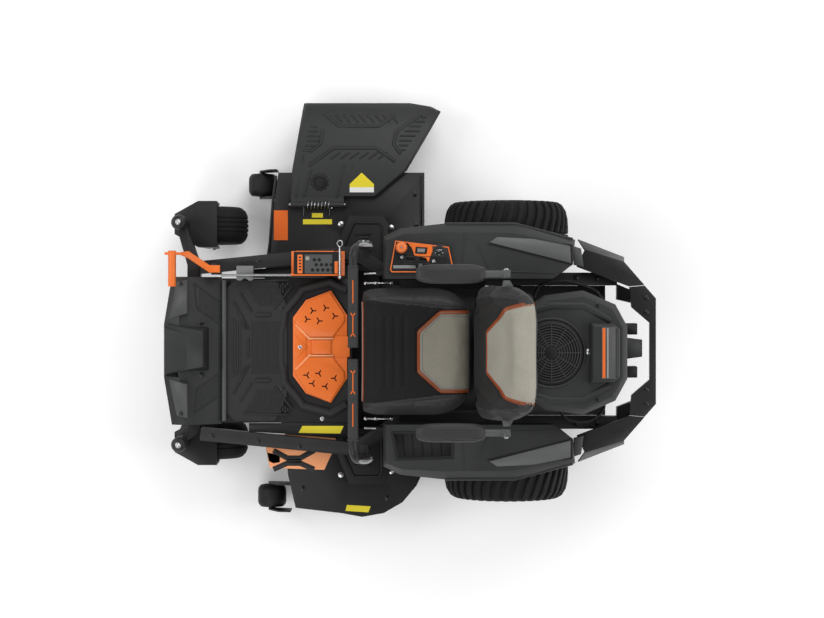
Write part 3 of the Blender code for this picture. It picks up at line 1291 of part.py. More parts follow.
# ---------------------------------------------------------------- the mower
def make():
    for leftover in list(bpy.data.objects):
        bpy.data.objects.remove(leftover, do_unlink=True)
    shift_x = (CHUTE_REACH - (SPINDLE_X + BLADE_SHELL_R)) / 2
    shift_y = -(NOSE_Y + TAIL_Y) / 2
    body("mower", (shift_x, shift_y, 0))
    steel = material("dark_painted_steel", (0.032, 0.032, 0.035), 0.5)
    bare = material("bare_steel", (0.42, 0.42, 0.43), 0.35, 1.0)
    plastic = material("black_plastic", (0.020, 0.020, 0.021), 0.55)
    orange = material("orange_paint", (0.85, 0.17, 0.02), 0.4)
    rubber = material("rubber", (0.014, 0.014, 0.014), 0.8)
    vinyl = material("seat_vinyl", (0.022, 0.022, 0.023), 0.6)
    body("chassis")
    body("hatch", (HATCH_X, HATCH_REAR_Y + 0.004, FLOOR_Z + 0.009))
    body("seat_pan", (0, SEAT_HINGE_Y, SEAT_HINGE_Z))
    body("seat", (0, 0, CUSHION_LOW_Z))
    body("crankshaft", (0, ENGINE_Y, 0.300))
    body("blade_knob", (*PANEL_PLACES["knob"], POD_HIGH_Z + 0.012))
    body("throttle", (*PANEL_PLACES["lever"], POD_HIGH_Z + 0.008))
    body("key", (*PANEL_PLACES["key"], POD_HIGH_Z + 0.012))
    for side_name, side in SIDES.items():
        body(f"armrest_{side_name}", (side * ARMREST_X, ARMREST_PIVOT_Y, ARMREST_LOW_Z + 0.016))
        body(f"lever_{side_name}", (side * (LEVER_X + 0.022), LEVER_Y, LEVER_Z))
        body(f"lap_bar_{side_name}", (side * (LEVER_X + 0.004), LEVER_Y, SWING_Z))
        body(f"rear_wheel_{side_name}", (side * REAR_TYRE_X, REAR_AXLE_Y, REAR_TYRE_R))
        body(f"caster_{side_name}", (CASTER_X[side_name], CASTER_Y, BARREL_LOW_Z))
        body(f"caster_wheel_{side_name}", (CASTER_X[side_name], CASTER_Y + CASTER_TRAIL, CASTER_TYRE_R))
        body(f"gauge_wheel_{side_name}", (*GAUGE_WHEELS[side_name], GAUGE_WHEEL_Z))
    body("deck", (0, SPINDLE_Y, DECK_LOW_Z))
    for side_name, (x, y) in spindles().items():
        body(f"blade_{side_name}", (x, y, BLADE_Z))
    body("chute", (CHUTE_HINGE_X, -0.378, CHUTE_HINGE_Z))
    body("lift_pedal", (PEDAL_X, PEDAL_Y, PEDAL_Z))

    rails(steel)
    front_beam(steel)
    engine_mount(steel)
    rear_guards(steel)
    nose(plastic)
    floor(steel, rubber)
    access_hatch(orange)
    side_step(orange)
    side_pods(plastic)
    control_panel(plastic, orange, bare)
    height_selector(orange)
    seat_base(steel)
    seat(steel, vinyl)
    armrests(steel, vinyl)
    steering(steel, rubber)
    engine(bare, plastic)
    crankshaft(bare, plastic)
    transaxles(bare)
    rear_wheels(rubber, steel)
    casters(steel, rubber, steel)
    deck(steel, steel)
    spindle_covers(steel)
    blades(bare)
    belt(rubber)
    chute(plastic)
    gauge_wheels(plastic)
    lift_pedal(orange)


make()
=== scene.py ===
# %% [markdown]
# # A zero turn mower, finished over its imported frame
# The frame is the mower as it was packed: every solid in its place, and every joint. This notebook
# gives those solids their moulded, painted, cast and padded surfaces. The frame is loaded before
# anything else, because every piece below takes its place from it and rides on one of its bodies.

# %% Load the frame
import json
import math

import bmesh
import bpy
from mathutils import Matrix, Vector
from mathutils.bvhtree import BVHTree


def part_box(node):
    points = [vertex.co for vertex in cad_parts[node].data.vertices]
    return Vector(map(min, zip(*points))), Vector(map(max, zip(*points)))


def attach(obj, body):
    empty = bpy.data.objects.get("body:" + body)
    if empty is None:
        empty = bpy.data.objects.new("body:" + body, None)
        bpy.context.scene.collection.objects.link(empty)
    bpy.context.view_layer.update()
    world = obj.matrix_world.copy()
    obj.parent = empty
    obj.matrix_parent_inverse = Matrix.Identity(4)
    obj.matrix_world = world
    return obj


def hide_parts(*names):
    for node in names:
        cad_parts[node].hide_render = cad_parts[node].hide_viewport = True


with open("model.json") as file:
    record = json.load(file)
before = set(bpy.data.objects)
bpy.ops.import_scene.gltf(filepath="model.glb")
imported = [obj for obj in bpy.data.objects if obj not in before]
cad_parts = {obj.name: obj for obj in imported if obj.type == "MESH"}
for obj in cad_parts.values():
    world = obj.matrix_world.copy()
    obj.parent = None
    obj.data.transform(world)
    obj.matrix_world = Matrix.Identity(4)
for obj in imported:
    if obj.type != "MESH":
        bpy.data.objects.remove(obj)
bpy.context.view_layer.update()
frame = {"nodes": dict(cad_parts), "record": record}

BODY_OF = {node: body for body, nodes in frame["record"]["behaviour"]["bodies"].items() for node in nodes}
print("solids in the frame:", len(frame["nodes"]))

# %% [markdown]
# The mower was laid out from its own centreline, and then moved so that the middle of its box is the
# origin. Here the same centreline is found again: halfway between the frame rails, with the rear
# axle 0.376 m behind the zero of Y. Sizes below can then be read as left, right, front and rear.

# %% Find the centreline
AXLE_Y = 0.376
rail_low, rail_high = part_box("frame_rail_right")[0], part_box("frame_rail_left")[1]
tyre_low, tyre_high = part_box("rear_tyre_left")
HOME = Vector(((rail_low.x + rail_high.x) / 2, (tyre_low.y + tyre_high.y) / 2 - AXLE_Y, 0))
SIDES = {"right": -1, "left": 1}
print("centreline at", [round(v, 4) for v in HOME])


def place(node):
    """The box of a solid, measured from the centreline."""
    low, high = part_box(node)
    return low - HOME, high - HOME


# %% [markdown]
# ## Camera, floor and lights
# The camera looks straight down from 7.5 m with a long lens, its right-hand side towards the rear
# of the mower. A pale floor and a white sky give even studio light, and four large lamps add the soft
# highlights that show how the covers turn.

# %% Camera and stage
CAMERA_HEIGHT = 7.5
camera_data = bpy.data.cameras.new("camera")
camera_data.lens = 79.2
camera_data.sensor_width = 36.0
camera_data.clip_end = 100.0
camera = bpy.data.objects.new("camera", camera_data)
camera.location = (0.0, 0.014, CAMERA_HEIGHT)
camera.rotation_euler = (0.0, 0.0, math.radians(90))
bpy.context.scene.collection.objects.link(camera)
bpy.context.scene.camera = camera
bpy.context.scene.view_settings.view_transform = "Standard"


# %% Make a mesh object
def mesh_object(name, points, faces):
    """A new mesh object from points in metres and faces, with its faces turned outwards."""
    mesh = bpy.data.meshes.new(name)
    mesh.from_pydata([tuple(p) for p in points], [], faces)
    edit = bmesh.new()
    edit.from_mesh(mesh)
    bmesh.ops.remove_doubles(edit, verts=edit.verts, dist=1e-6)
    bmesh.ops.recalc_face_normals(edit, faces=edit.faces)
    edit.to_mesh(mesh)
    edit.free()
    made = bpy.data.objects.new(name, mesh)
    bpy.context.scene.collection.objects.link(made)
    return made


# %% [markdown]
# ## Materials
# Every finish starts as a Principled shader with colours given as sRGB hex values, which one function
# turns into the linear values that Blender wants. Another small function adds a node with its
# settings and its links. Patterns read Object coordinates, which are metres here.

# %% Colours and nodes
def linear(hex_code):
    """An sRGB hex colour as linear red, green, blue and alpha."""
    values = [int(hex_code[i:i + 2], 16) / 255 for i in (1, 3, 5)]
    return (*[v / 12.92 if v <= 0.04045 else ((v + 0.055) / 1.055) ** 2.4 for v in values], 1.0)


def add(tree, kind, inputs=None, **settings):
    """Adds one node. Each input is given a value, or linked where it is given another node's output."""
    made = tree.nodes.new(kind)
    for key, value in settings.items():
        setattr(made, key, value)
    for key, value in (inputs or {}).items():
        if isinstance(value, bpy.types.NodeSocket):
            tree.links.new(value, made.inputs[key])
        else:
            made.inputs[key].default_value = value
    return made


def new_finish(name, **values):
    """A material with a Principled shader. Returns the material, its tree, the shader and its coordinates."""
    made = bpy.data.materials.new(name)
    made.use_nodes = True
    tree = made.node_tree
    tree.nodes.clear()
    shader = add(tree, "ShaderNodeBsdfPrincipled", {k.replace("_", " "): v for k, v in values.items()})
    add(tree, "ShaderNodeOutputMaterial", {"Surface": shader.outputs[0]})
    where = add(tree, "ShaderNodeTexCoord").outputs["Object"]
    return made, tree, shader, where


# %% [markdown]
# Most of the machine is one of two families. Moulded plastic has a spark-eroded grain of about a
# millimetre, drawn here at 3 to 4 mm so that it shows from a few metres. Powder coat is smoother, with
# a shallow orange peel. Both vary slowly in tone, as large parts do.

# %% Moulded plastic and powder coat
def coated(name, dark, light, roughness, grain_mm, depth_mm, metallic=0.0, spread=0.12, coat=0.0):
    """A finish whose colour drifts between two tones, with a fine grain in its bump and gloss."""
    made, tree, shader, where = new_finish(
        name, Metallic=metallic, Coat_Weight=coat, Coat_Roughness=0.25, Specular_IOR_Level=0.5 if metallic else 0.30
    )
    drift = add(
        tree, "ShaderNodeTexNoise",
        {"Vector": where, "Scale": 7.0, "Detail": 4.0, "Roughness": 0.6},
    )
    tone = add(
        tree, "ShaderNodeMix", {0: drift.outputs[0], 6: linear(dark), 7: linear(light)}, data_type="RGBA"
    )
    grain = add(
        tree, "ShaderNodeTexNoise", {
            "Vector": where, "Scale": 1000 / grain_mm, "Detail": 3.0, "Roughness": 0.55,
        }
    )
    speck = add(
        tree, "ShaderNodeMix", {
            0: 0.22, 6: tone.outputs[2], 7: grain.outputs[1],
        }, data_type="RGBA", blend_type="SOFT_LIGHT"
    )
    gloss = add(
        tree, "ShaderNodeMapRange",
        {0: drift.outputs[0], 1: 0.3, 2: 0.7, 3: roughness - spread / 2, 4: roughness + spread / 2},
    )
    bump = add(
        tree, "ShaderNodeBump",
        {"Height": grain.outputs[0], "Distance": depth_mm / 1000, "Strength": 0.6},
    )
    tree.links.new(speck.outputs[2], shader.inputs["Base Color"])
    tree.links.new(gloss.outputs[0], shader.inputs["Roughness"])
    tree.links.new(bump.outputs[0], shader.inputs["Normal"])
    return made


FINISH = {
    # Spark-eroded ABS: an even, soft highlight that never turns into a mirror.
    "charcoal_abs": coated("moulded_abs_charcoal", "#262727", "#313232", 0.50, 3.5, 0.35),
    "grey_abs": coated("moulded_abs_grey", "#464747", "#545555", 0.46, 3.5, 0.30),
    "light_abs": coated("moulded_abs_light_grey", "#7b7c7d", "#8a8b8c", 0.45, 3.5, 0.25),
    "black_abs": coated("moulded_abs_black", "#121213", "#1b1b1c", 0.55, 3.5, 0.35),
    # Powder coat on welded steel: a shallow orange peel, and a little more gloss than the plastic.
    "frame_coat": coated("powder_coat_graphite", "#1d1d1e", "#272728", 0.44, 6.0, 0.18),
    "deck_coat": coated("powder_coat_black", "#171718", "#1f1f20", 0.48, 6.0, 0.18),
    "orange_coat": coated("powder_coat_orange", "#df6720", "#ec7a34", 0.38, 6.0, 0.15, coat=0.2),
    "pale_orange": coated("powder_coat_pale_orange", "#ee9a66", "#f6ab7c", 0.42, 6.0, 0.15, coat=0.15),
    "yellow_film": coated("vinyl_film_yellow", "#d8c52a", "#e6d63c", 0.35, 4.0, 0.05),
    "white_film": coated("vinyl_film_white", "#d9d9d6", "#e8e8e5", 0.35, 4.0, 0.05),
    "orange_film": coated("vinyl_film_orange", "#d9601f", "#e8702c", 0.35, 4.0, 0.05),
    # Metals keep the default index: cast aluminium is matt and grainy, zinc plate is bright.
    "cast_aluminium": coated("cast_aluminium", "#8d8e90", "#a6a7a9", 0.48, 2.5, 0.40, metallic=1.0),
    "dark_casting": coated("painted_cast_iron", "#4a4b4d", "#5c5d5f", 0.50, 2.5, 0.40, metallic=0.4),
    "zinc": coated("zinc_plated_steel", "#b9babc", "#d4d5d7", 0.28, 4.0, 0.08, metallic=1.0, spread=0.16),
    "blade_steel": coated(
        "rolled_spring_steel", "#6d6e70", "#8b8c8e", 0.36, 5.0, 0.10, metallic=1.0, spread=0.2,
    ),
    # Rubbers: carbon black with a bloom that greys it, and almost no gloss.
    "tyre": coated("carbon_black_tyre_rubber", "#111111", "#1b1b1a", 0.78, 3.0, 0.30, spread=0.16),
    "mat": coated("moulded_floor_mat_rubber", "#242424", "#303030", 0.70, 3.0, 0.30, spread=0.14),
    "grip": coated("closed_cell_grip_foam", "#2a2a2a", "#383838", 0.62, 2.5, 0.45),
    "belt": coated("neoprene_belt", "#141414", "#1e1e1e", 0.75, 2.5, 0.25),
    "hose": coated("fuel_hose_rubber", "#101010", "#1a1a1a", 0.50, 3.0, 0.10),
}
print("coated finishes:", len(FINISH))

# %% [markdown]
# The seat is covered in vinyl: a plastic skin embossed with leather-like cells about 2 mm across,
# drawn here at 5 mm. Worley cells give the creases.

# %% Seat vinyl
def vinyl(name, dark, light, roughness):
    made, tree, shader, where = new_finish(
        name, Sheen_Weight=0.04, Sheen_Roughness=0.5, Specular_IOR_Level=0.30,
    )
    cells = add(
        tree, "ShaderNodeTexVoronoi", {"Vector": where, "Scale": 1000 / 5.0},
        feature="DISTANCE_TO_EDGE",
    )
    drift = add(tree, "ShaderNodeTexNoise", {"Vector": where, "Scale": 9.0, "Detail": 3.0})
    tone = add(
        tree, "ShaderNodeMix", {0: drift.outputs[0], 6: linear(dark), 7: linear(light)},
        data_type="RGBA",
    )
    crease = add(tree, "ShaderNodeMapRange", {0: cells.outputs[0], 1: 0.0, 2: 0.12, 3: 0.72, 4: 1.0})
    shade = add(
        tree, "ShaderNodeMix", {
            0: 0.6, 6: tone.outputs[2], 7: crease.outputs[0],
        }, data_type="RGBA", blend_type="MULTIPLY"
    )
    bump = add(tree, "ShaderNodeBump", {"Height": crease.outputs[0], "Distance": 0.0004, "Strength": 0.5})
    gloss = add(
        tree, "ShaderNodeMapRange",
        {0: drift.outputs[0], 1: 0.3, 2: 0.7, 3: roughness - 0.05, 4: roughness + 0.06},
    )
    tree.links.new(shade.outputs[2], shader.inputs["Base Color"])
    tree.links.new(gloss.outputs[0], shader.inputs["Roughness"])
    tree.links.new(bump.outputs[0], shader.inputs["Normal"])
    return made


FINISH["black_vinyl"] = vinyl("embossed_vinyl_black", "#1a1a1b", "#242425", 0.50)
FINISH["insert_vinyl"] = vinyl("embossed_vinyl_insert", "#08080a", "#0e0e10", 0.72)
FINISH["grey_vinyl_dark"] = vinyl("embossed_vinyl_graphite", "#29292a", "#353536", 0.50)
FINISH["grey_vinyl"] = vinyl("embossed_vinyl_grey", "#2a2a2b", "#353536", 0.48)
FINISH["stone_vinyl"] = vinyl("embossed_vinyl_stone", "#8f8b7e", "#aaa69a", 0.50)
FINISH["rim_coat"] = coated("powder_coat_wheel", "#1b1c1d", "#262728", 0.42, 2.0, 0.05)
FINISH["dark_zinc"] = coated("black_zinc_plate", "#2a2b2c", "#3a3b3c", 0.35, 1.5, 0.03, metallic=0.9)
# A lighter grey for the raised pod panels: a painted highlight where the pod tops catch the light.
FINISH["pod_panel_highlight_abs"] = coated("moulded_abs_pod_panel_painted_highlight", "#525353", "#606161", 0.44, 3.5, 0.25)
# A lighter grey for the nose's side facets: a painted highlight where they face the light.
FINISH["nose_highlight_abs"] = coated("moulded_abs_nose_painted_highlight", "#434444", "#4f5050", 0.46, 3.5, 0.25)
FINISH["fan_abs"] = coated("moulded_abs_grille", "#3a3b3b", "#474848", 0.42, 3.5, 0.15)
# A darker copy of the stone vinyl for the cushion's panel: painted shade cast on it by the seat back.
FINISH["stone_vinyl_shaded"] = vinyl("embossed_vinyl_stone_painted_shade", "#7b776b", "#959184", 0.50)
FINISH["zinc_satin"] = coated("satin_zinc_plate", "#8d8e90", "#a5a6a8", 0.42, 4.0, 0.06, metallic=1.0)
FINISH["saddle_abs"] = coated("moulded_nylon_grey", "#6d6e6e", "#7b7c7c", 0.48, 3.5, 0.2)
FINISH["piping"] = vinyl("welt_cord_vinyl_orange", "#8c3d12", "#a9501e", 0.55)

# %% Floor, sky and lamps
FLOOR_HALF = 9
FLOOR_DROP = 0.0005
floor_corners = [(x * FLOOR_HALF, y * FLOOR_HALF, 0) for x, y in ((-1, -1), (1, -1), (1, 1), (-1, 1))]
floor = mesh_object("floor", floor_corners, [(0, 1, 2, 3)])
pale = new_finish(
    "matt_studio_floor", Base_Color=linear("#f4f4f4"), Roughness=0.9, Emission_Color=linear(
        "#ffffff"
    ), Emission_Strength=0.15
)[0]
floor.data.materials.append(pale)
floor.location.z = -FLOOR_DROP
world = bpy.data.worlds.new("white_studio")
world.use_nodes = True
world.node_tree.nodes["Background"].inputs["Color"].default_value = linear("#ffffff")
world.node_tree.nodes["Background"].inputs["Strength"].default_value = 0.30
bpy.context.scene.world = world
LAMPS = (  # place, aim, width, power
    ((-4.2, 1.2, 4.4), (0, 0, 0.3), 4.0, 170.0),
    ((4.0, -2.0, 4.4), (0, 0, 0.3), 4.0, 130.0),
    ((-0.6, -4.6, 4.0), (0, 0, 0.3), 3.4, 110.0),
    ((0.6, 4.8, 3.6), (0, 0, 0.3), 3.4, 120.0),
)
for number, (at, aim, width, power) in enumerate(LAMPS):
    lamp = bpy.data.lights.new(f"softbox_{number}", "AREA")
    lamp.size = width
    lamp.energy = power
    holder = bpy.data.objects.new(f"softbox_{number}", lamp)
    holder.location = at
    holder.rotation_euler = (Vector(aim) - Vector(at)).to_track_quat("-Z", "Y").to_euler()
    bpy.context.scene.collection.objects.link(holder)

# %% [markdown]
# ## Shapes
# A few shapes make nearly everything: a loft through loops of points, a prism drawn up from a plan, a
# profile turned about an axis and a bar along a route. Each returns points and faces, so several can
# be joined into one mesh before it becomes an object.

# %% Shape helpers
def loft(sections, closed=False):
    """Loops of equal length joined into one skin, capped at its ends."""
    count = len(sections[0])
    points = [Vector(p) for section in sections for p in section]
    faces = []
    for row in range(len(sections) if closed else len(sections) - 1):
        here, there = row * count, (row + 1) % len(sections) * count
        for i in range(count):
            j = (i + 1) % count
            faces.append((here + i, here + j, there + j, there + i))
    if not closed:
        faces.append(tuple(reversed(range(count))))
        faces.append(tuple(range((len(sections) - 1) * count, len(sections) * count)))
    return points, faces


def prism(outline, low, high):
    """A plan of (x, y) points drawn up from low to high."""
    return loft([[(x, y, z) for x, y in outline] for z in (low, high)])


def block(low, high):
    (x0, y0, z0), (x1, y1, z1) = low, high
    return prism([(x0, y0), (x1, y0), (x1, y1), (x0, y1)], z0, z1)


def turned(profile, centre, axis, steps=32):
    """A profile of (radius, along) points turned about an axis: a ring, or closed where its radius is 0."""
    direction = Vector(axis).normalized()
    side = direction.orthogonal().normalized()
    other = direction.cross(side)
    points, rows = [], []
    for radius, along in profile:
        base = Vector(centre) + direction * along
        if radius == 0:
            rows.append([len(points)] * steps)
            points.append(base)
            continue
        rows.append(list(range(len(points), len(points) + steps)))
        turns = (2 * math.pi * i / steps for i in range(steps))
        points += [base + radius * (math.cos(t) * side + math.sin(t) * other) for t in turns]
    faces = []
    ring = all(radius > 0 for radius, _ in profile)
    for row in range(len(profile) if ring else len(profile) - 1):
        here, there = rows[row], rows[(row + 1) % len(profile)]
        for i in range(steps):
            j = (i + 1) % steps
            corners = tuple(dict.fromkeys((here[i], here[j], there[j], there[i])))
            if len(corners) > 2:
                faces.append(corners)
    return points, faces


def cylinder(centre, axis, radius, length, steps=24):
    half = length / 2
    return turned([(0, -half), (radius, -half), (radius, half), (0, half)], centre, axis, steps)


def bar(route, radius, steps=10):
    """A round bar or hose along a route of points, with one loop at each."""
    route = [Vector(p) for p in route]
    sections, side = [], None
    for i, here in enumerate(route):
        before = (here - route[i - 1]).normalized() if i else None
        after = (route[i + 1] - here).normalized() if i < len(route) - 1 else None
        along = ((before or after) + (after or before)).normalized()
        side = along.orthogonal().normalized() if side is None else (side - along * side.dot(along)).normalized()
        other = along.cross(side)
        turns = (2 * math.pi * k / steps for k in range(steps))
        sections.append([here + radius * (math.cos(t) * side + math.sin(t) * other) for t in turns])
    return loft(sections)


def smooth_route(points, steps=6):
    """More points along a Catmull-Rom curve through the ones given, for hoses and bent bars."""
    points = [Vector(p) for p in points]
    padded = [2 * points[0] - points[1], *points, 2 * points[-1] - points[-2]]
    route = []
    for a, b, c, d in zip(padded, padded[1:], padded[2:], padded[3:]):
        for k in range(steps):
            t = k / steps
            route.append(
                0.5 * (
                    2 * b + (c - a) * t + (2 * a - 5 * b + 4 * c - d) * t**2 + (
                        3 * b - a - 3 * c + d
                    ) * t**3
                )
            )
    return [*route, points[-1]]


def joined(*shapes):
    """Several shapes as one set of points and faces."""
    points, faces = [], []
    for more_points, more_faces in shapes:
        start = len(points)
        points += list(more_points)
        faces += [tuple(i + start for i in face) for face in more_faces]
    return points, faces


# %% [markdown]
# Each shape becomes a piece of the mower in one call: it is moved to the centreline, given its finish
# and rounded edges, made a plain mesh, and set to ride on its body. Real sheet and castings have no
# knife edges, so even a 1 mm bevel is worth its faces: it is what catches the light.

# %% Make a piece
def settled(obj):
    """The object with its modifiers applied, by way of the evaluated object."""
    evaluated = obj.evaluated_get(bpy.context.evaluated_depsgraph_get())
    mesh = bpy.data.meshes.new_from_object(evaluated)
    obj.modifiers.clear()
    obj.data = mesh
    return obj


def round_edges(obj, width, segments=2, angle=32):
    edge = obj.modifiers.new("Rounded edges", "BEVEL")
    edge.width = width
    edge.segments = segments
    edge.limit_method = "ANGLE"
    edge.angle_limit = math.radians(angle)
    edge.harden_normals = True
    edge.use_clamp_overlap = True
    return edge


# The body and the material slot that most of the small pieces share.
MOULDED_PART = ("chassis", "black_plastic")
STEEL_PART = ("chassis", "painted_steel")
RUBBER_PART = ("chassis", "rubber")
BARE_PART = ("chassis", "bare_metal")
ORANGE_PART = ("chassis", "orange_paint")
CHUTE_PART = ("chute", "black_plastic")


def piece(
    name, shape, finish, body, slot, bevel=0.001, segments=2, angle=32, smooth=40, replaces=(),
    move=True,
):
    """One visible piece of the mower, riding on a body."""
    points, faces = shape
    obj = mesh_object(name, [Vector(p) + (HOME if move else Vector()) for p in points], faces)
    obj.data.materials.append(FINISH[finish])
    obj.data.shade_smooth()
    if bevel:
        round_edges(obj, bevel, segments, angle)
        settled(obj)
    obj.data.set_sharp_from_angle(angle=math.radians(smooth))
    return onto(obj, body, slot, replaces)


def onto(obj, body, slot, replaces=()):
    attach(obj, body)
    if replaces:
        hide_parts(*replaces)
    return obj


def from_solid(node, finish, bevel=0.0015, segments=2, angle=32, smooth=40, suffix="surface"):
    """A finished copy of a solid: its triangles merged into whole faces, its edges rounded."""
    source = frame["nodes"][node]
    mesh = source.data.copy()
    edit = bmesh.new()
    edit.from_mesh(mesh)
    bmesh.ops.remove_doubles(edit, verts=edit.verts, dist=2e-5)
    bmesh.ops.dissolve_limit(edit, angle_limit=math.radians(0.6), verts=edit.verts, edges=edit.edges)
    edit.to_mesh(mesh)
    edit.free()
    obj = bpy.data.objects.new(f"{node}_{suffix}", mesh)
    bpy.context.scene.collection.objects.link(obj)
    obj.data.materials.clear()
    obj.data.materials.append(FINISH[finish])
    obj.data.shade_smooth()
    if bevel:
        round_edges(obj, bevel, segments, angle)
        settled(obj)
    obj.data.set_sharp_from_angle(angle=math.radians(smooth))
    slots = {s["node"]: s["material_slot"] for s in frame["record"]["subparts"]}
    return onto(obj, BODY_OF[node], slots[node], [node])


# %% [markdown]
# ## What repeats
# Bolts, tread blocks, grille bars, cooling fins and stitches repeat one small shape many times.
# Geometry Nodes do this: one tree sets a unit at each point of a guide mesh, turned by an attribute of
# that point, and another sets it evenly round an axis. Both end by making the copies real and giving
# them their finish, so what leaves the tree is a plain mesh.

# %% Two trees that repeat a unit
def new_tree(name, sockets):
    """A node tree with its named inputs, and its group input and output nodes."""
    tree = bpy.data.node_groups.new(name, "GeometryNodeTree")
    tree.interface.new_socket("Geometry", in_out="INPUT", socket_type="NodeSocketGeometry")
    for label, kind, value in sockets:
        socket = tree.interface.new_socket(label, in_out="INPUT", socket_type=kind)
        if value is not None:
            socket.default_value = value
    tree.interface.new_socket("Geometry", in_out="OUTPUT", socket_type="NodeSocketGeometry")
    return tree, tree.nodes.new("NodeGroupInput"), tree.nodes.new("NodeGroupOutput")


def end_tree(tree, given, out, instances):
    """Makes the copies real and gives them the finish."""
    real = add(tree, "GeometryNodeRealizeInstances", {"Geometry": instances})
    done = add(
        tree, "GeometryNodeSetMaterial",
        {"Geometry": real.outputs[0], "Material": given.outputs["Finish"]},
    )
    tree.links.new(done.outputs[0], out.inputs[0])


UNIT_AND_FINISH = (("Unit", "NodeSocketObject", None), ("Finish", "NodeSocketMaterial", None))
scatter_tree, given, out = new_tree(
    "unit_at_each_point", (*UNIT_AND_FINISH, ("Scale", "NodeSocketFloat", 1.0)),
)
unit = add(scatter_tree, "GeometryNodeObjectInfo", {"Object": given.outputs["Unit"]})
turn = add(scatter_tree, "GeometryNodeInputNamedAttribute", {"Name": "turn"}, data_type="FLOAT_VECTOR")
copies = add(
    scatter_tree, "GeometryNodeInstanceOnPoints",
    {"Points": given.outputs["Geometry"], "Instance": unit.outputs["Geometry"], "Rotation": turn.outputs["Attribute"],
     "Scale": given.outputs["Scale"]},
)
end_tree(scatter_tree, given, out, copies.outputs[0])

ring_tree, given, out = new_tree(
    "unit_round_an_axis", (
        *UNIT_AND_FINISH, ("Count", "NodeSocketInt", 12), ("Start Angle", "NodeSocketFloat", 0.0),
    )
)
unit = add(ring_tree, "GeometryNodeObjectInfo", {"Object": given.outputs["Unit"]})
points = add(ring_tree, "GeometryNodePoints", {"Count": given.outputs["Count"]})
index = add(ring_tree, "GeometryNodeInputIndex")
share = add(
    ring_tree, "ShaderNodeMath", {0: index.outputs[0], 1: given.outputs["Count"]},
    operation="DIVIDE",
)
angle = add(
    ring_tree, "ShaderNodeMath",
    {0: share.outputs[0], 1: 2 * math.pi, 2: given.outputs["Start Angle"]},
    operation="MULTIPLY_ADD",
)
turned_by = add(ring_tree, "ShaderNodeCombineXYZ", {"Z": angle.outputs[0]})
copies = add(
    ring_tree, "GeometryNodeInstanceOnPoints",
    {"Points": points.outputs[0], "Instance": unit.outputs["Geometry"], "Rotation": turned_by.outputs[0]},
)
end_tree(ring_tree, given, out, copies.outputs[0])
print("trees:", [tree.name for tree in bpy.data.node_groups])


# %% Run a tree and keep its mesh
def unit_object(shape, bevel=0.0, segments=1):
    """The small shape that a tree repeats, made about its own origin."""
    obj = mesh_object("unit", *shape)
    if bevel:
        round_edges(obj, bevel, segments)
        settled(obj)
    obj.data.shade_smooth()
    obj.data.set_sharp_from_angle(angle=math.radians(40))
    return obj


def run_tree(name, guide, tree, values, body, slot, matrix=None):
    """Runs a tree on a guide mesh, and keeps what it makes as a piece of the mower."""
    modifier = guide.modifiers.new("Repeat", "NODES")
    modifier.node_group = tree
    for item in tree.interface.items_tree:
        if item.in_out == "INPUT" and item.name in values:
            modifier[item.identifier] = values[item.name]
    settled(guide)
    guide.name = guide.data.name = name
    if matrix is not None:
        guide.data.transform(matrix)
    guide.data.transform(Matrix.Translation(HOME))
    if "Unit" in values:
        bpy.data.objects.remove(values["Unit"])
    guide.data.set_sharp_from_angle(angle=math.radians(40))
    return onto(guide, body, slot)


def scatter(name, shape, places, finish, body, slot, scale=1.0, bevel=0.0):
    """A unit at each (position, turn) of places. A turn is three angles about X, Y and Z, in radians."""
    guide = bpy.data.objects.new(name, bpy.data.meshes.new(name))
    guide.data.from_pydata([tuple(p) for p, _ in places], [], [])
    turns = guide.data.attributes.new("turn", "FLOAT_VECTOR", "POINT")
    for item, (_, turn_by) in zip(turns.data, places):
        item.vector = turn_by
    bpy.context.scene.collection.objects.link(guide)
    values = {"Unit": unit_object(shape, bevel), "Finish": FINISH[finish], "Scale": scale}
    return run_tree(name, guide, scatter_tree, values, body, slot)


def ring(name, shape, count, centre, axis, finish, body, slot, start=0.0, bevel=0.0):
    """A unit, drawn about the Z axis, repeated evenly round an axis through a centre."""
    guide = bpy.data.objects.new(name, bpy.data.meshes.new(name))
    guide.data.from_pydata([(0, 0, 0)], [], [])
    bpy.context.scene.collection.objects.link(guide)
    values = {
        "Unit": unit_object(shape, bevel), "Finish": FINISH[finish], "Count": count,
        "Start Angle": start,
    }
    turn_to = Vector(axis).to_track_quat("Z", "Y").to_matrix().to_4x4()
    return run_tree(name, guide, ring_tree, values, body, slot, Matrix.Translation(centre) @ turn_to)


def facing(direction):
    """The turn that points a unit's Z axis along a direction."""
    return tuple(Vector(direction).to_track_quat("Z", "Y").to_euler())


# %% [markdown]
# ## Fasteners
# The covers and guards are held by flanged hex bolts. One is a hexagon on a thin washer, 16 mm
# across, small beside the mower but bright, so a few of them do much to set its size.

# %% Hex bolt
def hex_bolt(size=0.008, high=0.006):
    """A hex head of that radius on its washer, standing on the origin."""
    head = turned(
        [(0, 0.001), (size, 0.001), (size, high * 0.8), (size * 0.75, high), (0, high)], (0, 0, 0),
        (0, 0, 1), 6,
    )
    washer = turned(
        [(0, 0), (size * 1.35, 0), (size * 1.35, 0.0012), (size, 0.0022), (0, 0.0022)], (0, 0, 0), (
            0, 0, 1,
        ), 16
    )
    return joined(head, washer)


def dome_nut(size=0.009):
    return turned(
        [(0, 0), (size * 1.3, 0), (size * 1.3, 0.002), (size, 0.003), (size, 0.008), (size * 0.7, 0.013),
         (size * 0.3, 0.0155), (0, 0.016)],
        (0, 0, 0), (0, 0, 1), 12,
    )


def bolts(name, places, body, finish="zinc", size=0.008, slot="steel"):
    """Bolts at (x, y, z), or at ((x, y, z), direction), standing up unless they say otherwise."""
    listed = [(p[0], facing(p[1])) if isinstance(p[0], (tuple, Vector)) else (p, (0, 0, 0)) for p in places]
    return scatter(name, hex_bolt(size), listed, finish, body, slot)

